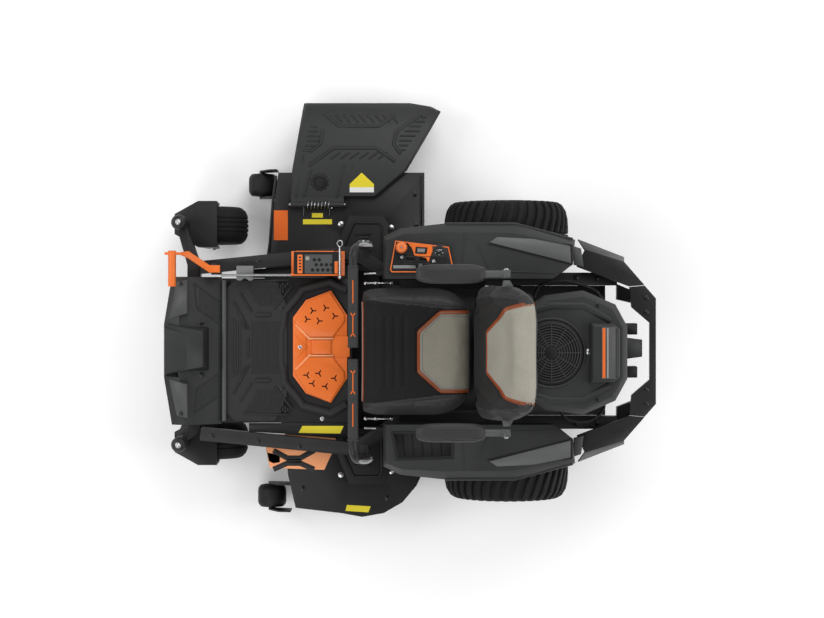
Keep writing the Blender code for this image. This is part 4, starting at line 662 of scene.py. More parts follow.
# %% [markdown]
# ## Frame and running gear
# The rails, the front beam, the plates and the brackets are welded sheet and tube under one coat, and
# their solids already have the right shape. Each gets a copy with its edges rounded and its finish.

# %% Painted and cast solids
PLAIN = {
    "frame_rail_right": ("frame_coat", 0.004), "frame_rail_left": ("frame_coat", 0.004),
    "front_beam": ("frame_coat", 0.004), "engine_mount": ("frame_coat", 0.001),
    "rear_guard_right": ("frame_coat", 0.002), "rear_guard_left": ("frame_coat", 0.002),
    "rear_guard_centre": ("frame_coat", 0.002), "floor_pan": ("deck_coat", 0.001),
    "seat_base": ("frame_coat", 0.001), "seat_pan": ("frame_coat", 0.001),
    "lever_base_right": ("frame_coat", 0.001), "lever_base_left": ("frame_coat", 0.001),
    "lap_bar_right": ("frame_coat", 0.0), "lap_bar_left": ("frame_coat", 0.0),
    "caster_fork_right": ("frame_coat", 0.0015), "caster_fork_left": ("frame_coat", 0.0015),
    "caster_rim_right": ("frame_coat", 0.001), "caster_rim_left": ("frame_coat", 0.001),
    "deck_shell": ("deck_coat", 0.003), "spindle_cover_right": ("black_abs", 0.006),
    "spindle_cover_left": ("black_abs", 0.006),
    "transaxle_right": ("cast_aluminium", 0.006), "transaxle_left": ("cast_aluminium", 0.006),
    "muffler": ("dark_casting", 0.003), "drive_pulley": ("zinc", 0.0008), "deck_belt": ("belt", 0.0),
    "blade_spindle_right": ("blade_steel", 0.0006), "blade_spindle_left": ("blade_steel", 0.0006),
    "blade_spindle_centre": ("blade_steel", 0.0006), "ignition_key": ("zinc", 0.0006),
    "throttle_lever": ("black_abs", 0.001), "side_step": ("pale_orange", 0.001),
}
for node, (finish, edge) in PLAIN.items():
    from_solid(node, finish, edge)

# %% [markdown]
# ## Seat
# The seat is foam under stretched vinyl. A loft gives the moulded foam its outline, its side bolsters
# and its hollow for the rider. Cloth simulation then puffs the skin, as the foam does when the cover
# is pulled over it, with its movement capped. Seams come afterwards: points near a sewing line are
# drawn in along their normals, and the orange welt cord is laid on the surface that results.

# %% Puff a skin
CLOTH_FRAMES = 20
PRESSURE = 4.0


def puffed(obj, voxel, cap):
    """Remeshes a closed shape evenly and inflates it as cloth. No point moves further than the cap."""
    remesh = obj.modifiers.new("Even mesh", "REMESH")
    remesh.mode = "VOXEL"
    remesh.voxel_size = voxel
    settled(obj)
    rest = [v.co.copy() for v in obj.data.vertices]
    cloth = obj.modifiers.new("Cloth", "CLOTH")
    cloth.settings.quality = 5
    cloth.settings.use_pressure = True
    cloth.settings.uniform_pressure_force = PRESSURE
    cloth.settings.effector_weights.gravity = 0.0
    cloth.point_cache.frame_start = 1
    cloth.point_cache.frame_end = CLOTH_FRAMES
    for number in range(1, CLOTH_FRAMES + 1):
        bpy.context.scene.frame_set(number)
    settled(obj)
    bpy.context.scene.frame_set(1)
    for vertex, start in zip(obj.data.vertices, rest):
        move = vertex.co - start
        vertex.co = start + move * min(1.0, cap / max(move.length, 1e-9))
    finer = obj.modifiers.new("Finer", "SUBSURF")
    finer.levels = finer.render_levels = 1
    settled(obj)
    return obj


def distance_to_line(point, line):
    """The distance in two dimensions from a point to a line of points."""
    best = 1e9
    for a, b in zip(line, line[1:]):
        a, b = Vector(a), Vector(b)
        along = b - a
        t = max(0.0, min(1.0, (point - a).dot(along) / along.length_squared))
        best = min(best, (point - a - along * t).length)
    return best


def sewn(obj, lines, flat, depth, width, where=lambda point, normal: True):
    """Draws the surface in along sewing lines. flat turns a point into the two dimensions of the lines."""
    mesh = obj.data
    normals = [v.normal.copy() for v in mesh.vertices]
    for vertex, normal in zip(mesh.vertices, normals):
        point = vertex.co - HOME
        if not where(point, normal):
            continue
        near = distance_to_line(flat(point), lines[0])
        for line in lines[1:]:
            near = min(near, distance_to_line(flat(point), line))
        if near < 3 * width:
            vertex.co -= normal * depth * math.exp(-((near / width) ** 2))
    return obj


def inside(point, outline):
    """True where a two-dimensional point is inside a closed outline."""
    hit = False
    for a, b in zip(outline, outline[1:] + outline[:1]):
        spans = (a[1] > point[1]) != (b[1] > point[1])
        if spans and point[0] < (b[0] - a[0]) * (point[1] - a[1]) / (b[1] - a[1]) + a[0]:
            hit = not hit
    return hit


def dense(line, step=0.006):
    """The same line with a point every few millimetres."""
    route = [Vector(line[0])]
    for a, b in zip(line, line[1:]):
        a, b = Vector(a), Vector(b)
        parts = max(1, round((b - a).length / step))
        route += [a.lerp(b, k / parts) for k in range(1, parts + 1)]
    return route


def eased(route, times=3):
    """A route with its corners rounded by averaging neighbours."""
    for _ in range(times):
        route = [
            route[0], *[(a + 2 * b + c) / 4 for a, b, c in zip(route, route[1:], route[2:])],
            route[-1],
        ]
    return route


def laid_on(tree, route, direction, lift):
    """Points of a route dropped along a direction onto a surface, and lifted off it a little."""
    direction = Vector(direction).normalized()
    found = []
    for point in route:
        hit, normal, _, _ = tree.ray_cast(point - direction * 0.6, direction)
        if hit is not None:
            found.append(hit + normal * lift)
    return found


# %% [markdown]
# The cushion's outline is a rounded rectangle, wider than it is deep. A pale panel at the rear, edged
# with a double orange welt and a pale cord inside it, sits between tall bolsters. The black insert
# ahead of it is sewn across in channels, and an orange and a pale cord follow the front edge. The panel outlines below are plan positions in metres from the centreline.

# %% Cushion
cushion_low, cushion_high = place("seat_cushion")
CUSHION_BASE_Z = 0.502
CUSHION_CROWN_Z = 0.612
SEAT_PANEL = [
    (-0.154, 0.232), (-0.154, 0.108), (-0.078, 0.022), (0.078, 0.022), (0.154, 0.108),
    (0.154, 0.232),
]
SEAT_INSERT = [
    (-0.200, -0.200), (0.200, -0.200), (0.166, 0.098), (0.160, 0.232), (-0.160, 0.232),
    (-0.166, 0.098),
]
SEAT_CHANNELS = [[(-0.13, y), (0.13, y)] for y in (-0.135, -0.100, -0.065, -0.030)]


def cushion_shape(columns=36, rows=30):
    """A crowned slab: a grid over its top and another under it, meeting at a rounded edge."""
    half_x = (cushion_high.x - cushion_low.x) / 2
    half_y = (cushion_high.y - cushion_low.y) / 2
    middle_y = (cushion_high.y + cushion_low.y) / 2
    grids = {}
    points, faces = [], []
    for side in (1, -1):
        for i in range(columns + 1):
            for j in range(rows + 1):
                u, v = math.sin(math.pi * (i / columns - 0.5)), math.sin(math.pi * (j / rows - 0.5))
                pull = 1 - 0.03 * abs(u) ** 8 * abs(v) ** 8
                corner = 1 - (0.030 if v < 0 else 0.085) * (abs(u) * abs(v)) ** 4
                taper = 1 - 0.20 * max(0.0, (v - 0.30) / 0.70) ** 2
                x, y = u * half_x * corner * pull * taper, middle_y + v * half_y * corner
                fall = max(0.0, (1 - abs(u) ** 7) * (1 - abs(v) ** 7)) ** 0.42
                bolster = 0.024 * math.exp(-(((abs(u) - 0.84) / 0.13) ** 2)) * (1 - 0.3 * abs(v) ** 2)
                hollow = -0.014 * (1 - abs(u)) * (1 - v * v) + 0.010 * max(0.0, -v) ** 3
                if side > 0:
                    z = CUSHION_BASE_Z + 0.028 + (
                        CUSHION_CROWN_Z - CUSHION_BASE_Z - 0.028 + bolster + hollow
                    ) * fall
                else:
                    z = CUSHION_BASE_Z + 0.028 - 0.028 * fall
                edge = i in (0, columns) or j in (0, rows)
                key = (i, j, 1 if edge else side)
                if key not in grids:
                    grids[key] = len(points)
                    points.append((x, y, z))
    for side in (1, -1):
        for i in range(columns):
            for j in range(rows):
                corners = []
                for a, b in ((i, j), (i + 1, j), (i + 1, j + 1), (i, j + 1)):
                    edge = a in (0, columns) or b in (0, rows)
                    corners.append(grids[(a, b, 1 if edge else side)])
                faces.append(tuple(corners if side > 0 else reversed(corners)))
    return points, faces


def two_tone(obj, finishes, choose):
    """Gives each face one of several finishes, chosen by its middle and normal from the centreline."""
    obj.data.materials.clear()
    for finish in finishes:
        obj.data.materials.append(FINISH[finish])
    for face in obj.data.polygons:
        face.material_index = choose(face.center - HOME, face.normal)


def in_plan(point):
    return Vector((point[0], point[1]))


points, faces = cushion_shape()
cushion = mesh_object("seat_cushion_cover", [Vector(p) + HOME for p in points], faces)
puffed(cushion, 0.008, 0.008)
seams = [
    SEAT_PANEL, [(-0.205, -0.19), (-0.166, 0.105), (-0.160, 0.23)],
    [(0.205, -0.19), (0.166, 0.105), (0.160, 0.23)],
]
sewn(cushion, seams, in_plan, 0.007, 0.008, lambda p, n: n.z > 0.3)
sewn(cushion, SEAT_CHANNELS, in_plan, 0.0045, 0.007, lambda p, n: n.z > 0.3)
# The cushion's pale panel takes the darker stone: painted shade from the seat back over it.
two_tone(
    cushion, ("grey_vinyl_dark", "insert_vinyl", "stone_vinyl_shaded"),
    lambda p, n: (2 if inside(p, SEAT_PANEL) else 1 if inside(p, SEAT_INSERT) else 0) if n.z > 0.25 else 0,
)
cushion.data.shade_smooth()
onto(cushion, "seat", "vinyl", ["seat_cushion"])
cushion_tree = BVHTree.FromPolygons(
    [v.co for v in cushion.data.vertices], [p.vertices for p in cushion.data.polygons]
)
print(
    "cushion:", len(cushion.data.polygons), "faces, top at",
    round(max(v.co.z for v in cushion.data.vertices), 3)
)


# %% Welt cord
def welt(
    name, line, tree, direction, finish, body, offsets=(0.0, 0.010), radius=0.0032, to_space=None,
    lift=0.001,
):
    """Sewn cord on a surface, along a line, with its second run a little inside the first."""
    shapes = []
    for offset in offsets:
        middle = sum((Vector(p) for p in line), Vector((0, 0))) / len(line)
        moved = []
        for p in line:
            p = Vector(p)
            moved.append(p - (p - middle).normalized() * offset)
        route = [HOME + to_space(p) for p in eased(dense(moved))]
        found = laid_on(tree, route, direction, lift)
        shapes.append(bar([p - HOME for p in found], radius, 8))
    return piece(name, joined(*shapes), finish, body, "vinyl", bevel=0)


cushion_welt = welt(
    "seat_cushion_welt", SEAT_PANEL, cushion_tree, (0, 0, -1), "piping", "seat",
    to_space=lambda p: Vector((p.x, p.y, 0.65)), offsets=(0.0, 0.0085), radius=0.0026,
)
inner = [(x * 0.90, 0.222 if y > 0.2 else 0.110 if y > 0.1 else 0.038) for x, y in SEAT_PANEL]
welt("seat_cushion_panel_edge", inner, cushion_tree, (0, 0, -1), "light_abs", "seat", offsets=(0.0,), radius=0.0018,
     to_space=lambda p: Vector((p.x, p.y, 0.65)))
front_y = cushion_low.y - 0.02
for label, finish, z, radius in (("orange", "piping", 0.566, 0.0028), ("pale", "light_abs", 0.556, 0.0036)):
    line = [HOME + Vector((x / 100, front_y, z)) for x in range(-19, 20)]
    found = laid_on(cushion_tree, line, (0, 1, 0), 0.0012)
    piece(f"seat_cushion_front_{label}", bar([p - HOME for p in found], radius, 8), finish, "seat", "vinyl", bevel=0)
print("welt:", len(cushion_welt.data.polygons), "faces")

# %% [markdown]
# The back leans away from the cushion and its two wings reach forward round the driver. It is a closed
# shape drawn as two grids, front and rear, that meet round the edge: each row has its own width,
# depth and lean. A pale panel covers its middle and goes over the top, with a double welt at its edge.

# %% Seat back
BACK_ROWS = ((0.528, 0.196, 0.240, 0.058), (0.630, 0.236, 0.240, 0.080), (0.700, 0.250, 0.266, 0.090),
             (0.790, 0.254, 0.300, 0.094), (0.880, 0.250, 0.337, 0.092), (0.955, 0.228, 0.366, 0.088),
             (1.000, 0.196, 0.392, 0.078))  # height, half width, front, depth
BACK_PANEL = [(-0.080, 0.715), (0.080, 0.715), (0.168, 0.905), (0.188, 1.030), (0.184, 1.060), (-0.184, 1.060),
              (-0.188, 1.030), (-0.168, 0.905)]
BACK_INNER = [(-0.150, 0.50), (0.150, 0.50), (0.212, 0.80), (0.196, 0.955), (-0.196, 0.955), (-0.212, 0.80)]


def step_up(low, high, value):
    """0 below low, 1 above high, and an even ease between them."""
    share = max(0.0, min(1.0, (value - low) / (high - low)))
    return share * share * (3 - 2 * share)


def back_row(height):
    """The half width, front and depth at a height, eased between the rows."""
    for (z0, *here), (z1, *there) in zip(BACK_ROWS, BACK_ROWS[1:]):
        if height <= z1 or z1 == BACK_ROWS[-1][0]:
            share = (height - z0) / (z1 - z0)
            return [a + (b - a) * share for a, b in zip(here, there)]


def two_sided(columns, rows, at):
    """Two grids over u and v from -1 to 1 that share their rim. at(u, v, side) gives a point."""
    index, points, faces = {}, [], []

    def corner(i, j, side):
        key = (i, j, 0 if i in (0, columns) or j in (0, rows) else side)
        if key not in index:
            index[key] = len(points)
            u, v = math.sin(math.pi * (i / columns - 0.5)), math.sin(math.pi * (j / rows - 0.5))
            points.append(at(u, v, key[2]))
        return index[key]

    for side in (1, -1):
        for i in range(columns):
            for j in range(rows):
                loop = [
                    corner(i, j, side), corner(i + 1, j, side), corner(i + 1, j + 1, side),
                    corner(i, j + 1, side),
                ]
                faces.append(tuple(loop if side > 0 else reversed(loop)))
    return points, faces


def back_point(u, v, side):
    low, high = BACK_ROWS[0][0], BACK_ROWS[-1][0]
    z = (low + high) / 2 + v * (high - low) / 2
    half, front, depth = back_row(z)
    round_off = 1 - 0.10 * (abs(u) * abs(v)) ** 5
    fall = max(0.0, (1 - abs(u) ** 6) * (1 - abs(v) ** 7)) ** 0.45
    wing = step_up(0.50, 0.86, abs(u)) * step_up(0.63, 0.72, z) * (1 - step_up(0.84, 0.97, z))
    dish = 0.012 * (1 - u * u) * step_up(0.60, 0.70, z) * (1 - step_up(0.90, 1.0, z))
    forward = (0.046 * wing - dish) * (1.0 if side < 0 else 0.75 if side == 0 else 0.45)
    return (u * half * round_off, front + depth / 2 + side * depth / 2 * fall - forward, z)


def surface_tree(obj):
    return BVHTree.FromPolygons([v.co for v in obj.data.vertices], [p.vertices for p in obj.data.polygons])


points, faces = two_sided(40, 36, back_point)
back = mesh_object("seat_back_cover", [Vector(p) + HOME for p in points], faces)
puffed(back, 0.008, 0.007)
front_only = lambda p, n: n.y < 0.4


def in_elevation(point):
    return Vector((point[0], point[2]))


sewn(back, [[*BACK_PANEL, BACK_PANEL[0]]], in_elevation, 0.006, 0.008, front_only)
sewn(back, [[(-0.15, 0.64), (-0.186, 0.80), (-0.214, 0.93)], [(0.15, 0.64), (0.186, 0.80), (0.214, 0.93)]],
     in_elevation, 0.006, 0.008, front_only)
two_tone(
    back, ("black_vinyl", "stone_vinyl", "grey_vinyl"),
    lambda p,
    n: 1 if inside(in_elevation(p), BACK_PANEL) and n.y < 0.9 else 0 if inside(
        in_elevation(p), BACK_INNER,
    ) and n.y < 0.2 else 2,
)
back.data.shade_smooth()
onto(back, "seat", "vinyl", ["seat_back"])
back_tree = surface_tree(back)
runs = []
for inner in (0.0, 0.010):
    shift = inner * 0.7
    face_line = [(-0.185 + inner, 0.985), (-0.168 + inner, 0.905), (-0.080 + shift, 0.715 + inner)]
    face_line += [(-x, z) for x, z in reversed(face_line)]
    face_route = [HOME + Vector((p.x, 0.0, p.y)) for p in dense([Vector(p) for p in face_line])]
    found = laid_on(back_tree, face_route, (0, 1, 0), 0.001)
    for end in (0, -1):
        x = (found[end] - HOME).x
        over = [HOME + Vector((x, y, 1.2)) for y in (0.425, 0.440, 0.455, 0.468)]
        top_run = laid_on(back_tree, over, (0, 0, -1), 0.001)
        found = [*reversed(top_run), *found] if end == 0 else [*found, *top_run]
    runs.append(bar([p - HOME for p in eased(found, 3)], 0.003, 8))
piece("seat_back_welt", joined(*runs), "piping", "seat", "vinyl", bevel=0)
shell_rows = []
for z in (0.535, 0.62, 0.72, 0.84, 0.90):
    half, front, depth = back_row(z)
    y = front + depth - 0.012
    wide = half - 0.020
    shell_rows.append([(-wide, y, z), (-wide + 0.02, y + 0.020, z), (wide - 0.02, y + 0.020, z), (wide, y, z),
                       (wide - 0.03, y + 0.004, z), (-wide + 0.03, y + 0.004, z)])
piece("seat_back_shell", loft(shell_rows), "black_abs", "seat", "black_plastic", bevel=0.004, segments=2)
print("back:", len(back.data.polygons), "faces")

# %% [markdown]
# Each armrest is a foam pad moulded over a steel arm, hinged on a bracket at the side of the back, so
# it lifts. The pad is a small closed cushion, flat below where the arm carries it.

# %% Armrests
PAD_REAR_Y = 0.272
ARM_PIVOT_Y = 0.345
for side_name, side in SIDES.items():
    low, high = place(f"armrest_{side_name}")
    middle_x = (low.x + high.x) / 2
    half_x, half_y, middle_y = (high.x - low.x) / 2, (PAD_REAR_Y - low.y) / 2, (PAD_REAR_Y + low.y) / 2

    def pad_point(u, v, face_side):
        corner = 1 - 0.20 * (abs(u) * abs(v)) ** 3
        fall = max(0.0, (1 - abs(u) ** 5) * (1 - abs(v) ** 9)) ** 0.45
        rise = (high.z - low.z - 0.014) * fall if face_side > 0 else -0.012 * fall
        nose = 0.004 * step_up(0.5, 1.0, -v)
        return (middle_x + u * half_x * corner, middle_y + v * half_y * corner, low.z + 0.013 + rise - nose)

    points, faces = two_sided(16, 30, pad_point)
    pad = mesh_object(f"armrest_{side_name}_pad", [Vector(p) + HOME for p in points], faces)
    puffed(pad, 0.005, 0.002)
    sewn(pad, [[(low.x + 0.012, low.y + 0.02), (low.x + 0.010, PAD_REAR_Y - 0.02)],
               [(high.x - 0.012, low.y + 0.02), (high.x - 0.010, PAD_REAR_Y - 0.02)]],
         in_plan, 0.0025, 0.004, lambda p, n: n.z > 0.2)
    pad.data.materials.clear()
    pad.data.materials.append(FINISH["grey_vinyl"])
    pad.data.shade_smooth()
    onto(pad, f"armrest_{side_name}", "vinyl", [f"armrest_{side_name}"])
    x = side * 0.291
    arm = block(
        (x - 0.013, PAD_REAR_Y - 0.05, low.z + 0.006),
        (x + 0.013, ARM_PIVOT_Y + 0.012, low.z + 0.026),
    )
    boss = cylinder((x, ARM_PIVOT_Y, low.z + 0.016), (1, 0, 0), 0.017, 0.030, 20)
    piece(f"armrest_{side_name}_arm", joined(arm, boss), "grey_abs", f"armrest_{side_name}", "painted_steel", bevel=0.003)
    bolts(f"armrest_{side_name}_bolt", [((x + side * 0.015, ARM_PIVOT_Y, low.z + 0.016), (side, 0, 0))], f"armrest_{side_name}")
    stay = loft([
        [(side * 0.243, 0.330, low.z - 0.012), (side * 0.243, 0.372, low.z - 0.012), (side * 0.243, 0.372, low.z + 0.030),
         (side * 0.243, 0.330, low.z + 0.030)],
        [(side * 0.268, 0.334, low.z + 0.002), (side * 0.268, 0.358, low.z + 0.002), (side * 0.268, 0.358, low.z + 0.028),
         (side * 0.268, 0.334, low.z + 0.028)],
    ])
    piece(f"armrest_{side_name}_stay", stay, "grey_abs", "seat", "painted_steel", bevel=0.002)
print("armrests:", list(SIDES))

# %% [markdown]
# ## Tyres and wheels
# A rear tyre is 20 inches across with chevron lugs: two rings of bent blocks lean towards the
# rolling direction, one ring on each shoulder and half a step apart. The carcass is one profile
# turned about the axle, and the ring tree sets the lugs, so their number is a single value.

# %% Rear tyres
LUGS = 38
LUG_PLAN = (  # across the tyre, radius, how far round, half width
    (0.003, 0.2475, 0.000, 0.0110), (0.028, 0.2475, 0.045, 0.0115), (0.060, 0.2455, 0.100, 0.0125),
    (0.092, 0.2385, 0.135, 0.0130), (0.116, 0.2235, 0.150, 0.0130), (0.1255, 0.2080, 0.155, 0.0110),
)


def lug(side):
    """A bent tread block on one shoulder, drawn about the Z axis of the wheel."""
    sections = []
    for across, radius, round_by, half in LUG_PLAN:
        loop = []
        for edge, depth in ((-half, 0.016), (half, 0.016), (half * 0.80, 0.0), (-half * 0.80, 0.0)):
            turn = round_by * 0.9 + edge / radius
            loop.append(
                ((radius - depth) * math.cos(turn), (radius - depth) * math.sin(turn), side * across)
            )
        sections.append(loop)
    return loft(sections)


def tyre_body(profile, centre, axis, steps=64):
    """A carcass: half a profile of (radius, across) mirrored to the other side and turned."""
    whole = [*profile, *[(r, -a) for r, a in reversed(profile) if a > 0]]
    return turned(whole, centre, axis, steps)


for side_name, side in SIDES.items():
    low, high = place(f"rear_tyre_{side_name}")
    centre = ((low.x + high.x) / 2, (low.y + high.y) / 2, (low.z + high.z) / 2)
    half, body = (high.x - low.x) / 2, f"rear_wheel_{side_name}"
    rim_radius = 0.1016
    profile = [(0.2345, 0.0), (0.2345, half - 0.062), (0.2290, half - 0.036), (0.2160, half - 0.014),
               (0.2000, half - 0.004), (0.1900, half - 0.002), (0.1880, half - 0.0005),
               (0.1840, half - 0.0005),
               (0.1820, half - 0.003), (0.1600, half - 0.001), (0.1400, half - 0.006),
               (0.1220, half - 0.016),
               (0.1190, half - 0.0165), (0.1140, half - 0.0180), (rim_radius + 0.010, half - 0.027),
               (rim_radius + 0.0015, half - 0.034), (rim_radius + 0.0012, 0.0)]
    piece(f"rear_tyre_{side_name}_carcass", tyre_body(profile, centre, (1, 0, 0), 72), "tyre", body, "tyre", bevel=0,
          smooth=60, replaces=[f"rear_tyre_{side_name}"])
    for shoulder, start in ((1, 0.0), (-1, math.pi / LUGS)):
        ring(f"rear_tyre_{side_name}_lugs_{'outer' if shoulder > 0 else 'inner'}", lug(shoulder), LUGS, centre,
             (side, 0, 0), "tyre", body, "tyre", start=start, bevel=0.0012)
    from_solid(f"rear_rim_{side_name}", "rim_coat", 0.0015, smooth=50)
    nut = hex_bolt(0.0095, 0.014)
    seat_at = 0.031
    nuts = ([(p.x + 0.058, p.y, p.z + seat_at) for p in map(Vector, nut[0])], nut[1])
    ring(f"rear_rim_{side_name}_nuts", nuts, 5, centre, (side, 0, 0), "zinc", body, "bare_metal")
    valve = cylinder(
        (centre[0] + side * 0.050, centre[1], centre[2] + 0.088), (side, 0, 0.2), 0.004, 0.030, 12,
    )
    piece(f"rear_rim_{side_name}_valve", valve, "black_abs", body, "rubber", bevel=0.001)
print("rear lugs:", 4 * LUGS)

# %% [markdown]
# The casters roll on smooth ribbed tyres, whose grooves are part of the turned profile. Their axle
# nuts and swivel cap nuts are bright zinc. The small anti-scalp wheels hang from the deck's edge.

# %% Casters and gauge wheels
for side_name in SIDES:
    low, high = place(f"caster_tyre_{side_name}")
    centre = ((low.x + high.x) / 2, (low.y + high.y) / 2, (low.z + high.z) / 2)
    half, outer, body = (high.x - low.x) / 2, (high.z - low.z) / 2, f"caster_wheel_{side_name}"
    profile = [(outer, 0.0), (outer, 0.006), (outer - 0.004, 0.008), (outer - 0.004, 0.011), (outer, 0.013),
               (outer - 0.0005, 0.024), (outer - 0.0045, 0.026), (outer - 0.0045, 0.029),
               (outer - 0.001, 0.031),
               (outer - 0.003, half - 0.034), (outer - 0.010, half - 0.018), (0.118, half - 0.006),
               (0.108, half - 0.001), (0.100, half - 0.001), (0.098, half - 0.003), (0.085, half - 0.006),
               (0.070, half - 0.016), (0.0650, half - 0.020), (0.0646, 0.0)]
    piece(f"caster_tyre_{side_name}_carcass", tyre_body(profile, centre, (1, 0, 0), 56), "tyre", body, "tyre", bevel=0,
          smooth=60, replaces=[f"caster_tyre_{side_name}"])
    fork_low, fork_high = place(f"caster_fork_{side_name}")
    bolts(f"caster_fork_{side_name}_nuts",
          [
              ((fork_high.x - 0.006, centre[1], centre[2]), (1, 0, 0)),
              ((fork_low.x + 0.006, centre[1], centre[2]), (-1, 0, 0)),
          ],
          f"caster_{side_name}", size=0.011)
    swivel_y = centre[1] - 0.102
    scatter(f"caster_fork_{side_name}_cap_nut", dome_nut(0.012), [((centre[0], swivel_y, fork_high.z - 0.004), (0, 0, 0))],
            "zinc", f"caster_{side_name}", "bare_metal", bevel=0.0006)
    low, high = place(f"gauge_wheel_{side_name}")
    centre = ((low.x + high.x) / 2, (low.y + high.y) / 2, (low.z + high.z) / 2)
    half, outer = (high.x - low.x) / 2, (high.z - low.z) / 2
    profile = [(outer, 0.0), (outer, half * 0.45), (outer - 0.003, half * 0.70), (outer - 0.012, half * 0.90),
               (outer - 0.020, half * 0.92), (outer - 0.022, half * 0.72), (0.020, half * 0.72),
               (0.018, half * 0.98),
               (0.0105, half * 0.98), (0.0105, 0.0)]
    piece(f"gauge_wheel_{side_name}_tread", tyre_body(profile, centre, (1, 0, 0), 40), "black_abs",
          f"gauge_wheel_{side_name}", "black_plastic", bevel=0, smooth=40, replaces=[f"gauge_wheel_{side_name}"])
print("casters:", list(SIDES))

# %% [markdown]
# ## Mouldings
# The mat, the footrest and the chute carry raised ribs and bars. Each is a strip with a flat top and
# sloping sides that follows a line at the height of the surface below it. A second helper lays a thin
# patch on a surface for labels and panels, and a third lists the bricks that fill an outline.

# %% Ribs, patches and bricks
def ridge(line, width, height, level, top=0.5, sink=0.0015):
    """A strip along a line of plan points: width across, height above level(x, y), mitred at corners."""
    line = [Vector(p) for p in line]
    sections = []
    for i, here in enumerate(line):
        ways = [(b - a).normalized() for a, b in ((line[i - 1], here), (here, line[(i + 1) % len(line)]))]
        ways = [ways[1]] * 2 if i == 0 else [ways[0]] * 2 if i == len(line) - 1 else ways
        normals = [Vector((-w.y, w.x)) for w in ways]
        across = (normals[0] + normals[1]).normalized()
        across /= max(0.5, across.dot(normals[0]))
        z = level(here.x, here.y)
        loop = []
        for share, rise in ((-0.5, -sink), (-0.5 * top, height), (0.5 * top, height), (0.5, -sink)):
            at = here + across * width * share
            loop.append((at.x, at.y, z + rise))
        sections.append(loop)
    return loft(sections)


def patch(outline, level, thickness, sink=0.001, inset=0.0):
    """A plate of that outline which follows level(x, y), its top drawn in by inset."""
    middle = sum((Vector(p) for p in outline), Vector((0, 0))) / len(outline)
    upper = [Vector(p) - (Vector(p) - middle).normalized() * inset for p in outline]
    return loft([
        [(p[0], p[1], level(*p) - sink) for p in outline],
        [(p.x, p.y, level(p.x, p.y) + thickness) for p in upper],
    ])


def bricks_in(outline, level, pitch_x, pitch_y, tilt=0.0):
    """Places for bricks in staggered rows that fill an outline."""
    xs, ys = [p[0] for p in outline], [p[1] for p in outline]
    places, row = [], 0
    y = min(ys) + pitch_y / 2
    while y < max(ys):
        x = min(xs) + (pitch_x / 2 if row % 2 else 0.0)
        while x < max(xs):
            if inside(Vector((x, y)), outline):
                places.append(((x, y, level(x, y)), (tilt, 0, 0)))
            x += pitch_x
        y, row = y + pitch_y, row + 1
    return places


def both(outline, axis_x=0.0):
    """An outline and its mirror image about a lengthwise line."""
    return [outline, [(2 * axis_x - x, y) for x, y in reversed(outline)]]


BRICK = prism([(-0.0062, -0.0032), (0.0062, -0.0032), (0.0062, 0.0032), (-0.0062, 0.0032)], -0.001, 0.0022)
print("helpers for mouldings are ready")

# %% [markdown]
# The tread mat is moulded rubber. Bricks fill a field at each side, fine ribs cross the middle, and
# raised bars frame them. Its relief stands 2 to 5 mm high, enough to shade under a soft light.

# %% Floor mat
from_solid("floor_mat", "mat", 0.003)
MAT_TOP = place("floor_mat")[1].z
MAT_X = -0.012
on_mat = lambda x, y: MAT_TOP
field = [(-0.262, -0.652), (-0.268, -0.478), (-0.178, -0.540), (-0.172, -0.604)]
relief = []
for outline in both(field, MAT_X):
    relief.append(outline)
places = [p for outline in relief for p in bricks_in(outline, on_mat, 0.0150, 0.0094)]
front_field = [(-0.132, -0.706), (0.108, -0.706), (0.085, -0.668), (-0.109, -0.668)]
places += bricks_in(front_field, on_mat, 0.0110, 0.0094)
scatter("floor_mat_bricks", BRICK, places, "mat", *RUBBER_PART, bevel=0.0008)
bars = []
for line in (
    [(-0.223, -0.672), (-0.152, -0.628)], [(-0.253, -0.470), (-0.164, -0.538)],
    [(-0.193, -0.700), (-0.082, -0.638)],
    [(-0.158, -0.682), (-0.086, -0.652)], [(-0.270, -0.658), (-0.276, -0.482)],
):
    for side_line in both(line, MAT_X):
        bars.append(ridge(side_line, 0.0085, 0.0050, on_mat, top=0.55))
bars.append(ridge([(-0.050, -0.641), (0.026, -0.641)], 0.010, 0.0045, on_mat))
for centre_x in (-0.1405, 0.1165):
    bars.append(ridge([(centre_x, -0.612), (centre_x, -0.554)], 0.014, 0.0075, on_mat, top=0.7))
piece("floor_mat_bars", joined(*bars), "mat", *RUBBER_PART, bevel=0.0008)
ribs = [
    ridge([(-0.115, -0.626 + k * 0.0085), (0.091, -0.626 + k * 0.0085)], 0.0042, 0.0020, on_mat)
    for k in range(13)
]
piece("floor_mat_ribs", joined(*ribs), "mat", *RUBBER_PART, bevel=0)
collar = [(-0.070, -0.512), (-0.095, -0.505), (-0.150, -0.500), (-0.213, -0.447), (-0.240, -0.430), (-0.2700, -0.320),
          (-0.236, -0.256)]
collar_line = [*collar[::-1], *[(2 * MAT_X - x, y) for x, y in collar]]
on_floor = lambda x, y: MAT_TOP - 0.006
piece(
    "hatch_collar", joined(ridge(collar_line, 0.034, 0.0115, on_floor, top=0.42)), "mat",
    *RUBBER_PART, bevel=0.0012,
)
bolts(
    "floor_mat_bolts", [(-0.170, -0.510, MAT_TOP), (0.146, -0.510, MAT_TOP)], "chassis",
    finish="dark_zinc", size=0.007,
)
print("mat:", len(places), "bricks")

# %% [markdown]
# The access hatch is pressed steel in orange. Two raised lobes carry three-armed vents, with a lower
# channel between them where the hinge and the latch bolt sit. Thin pale ridges edge that channel. The
# vents are cut with a Boolean.

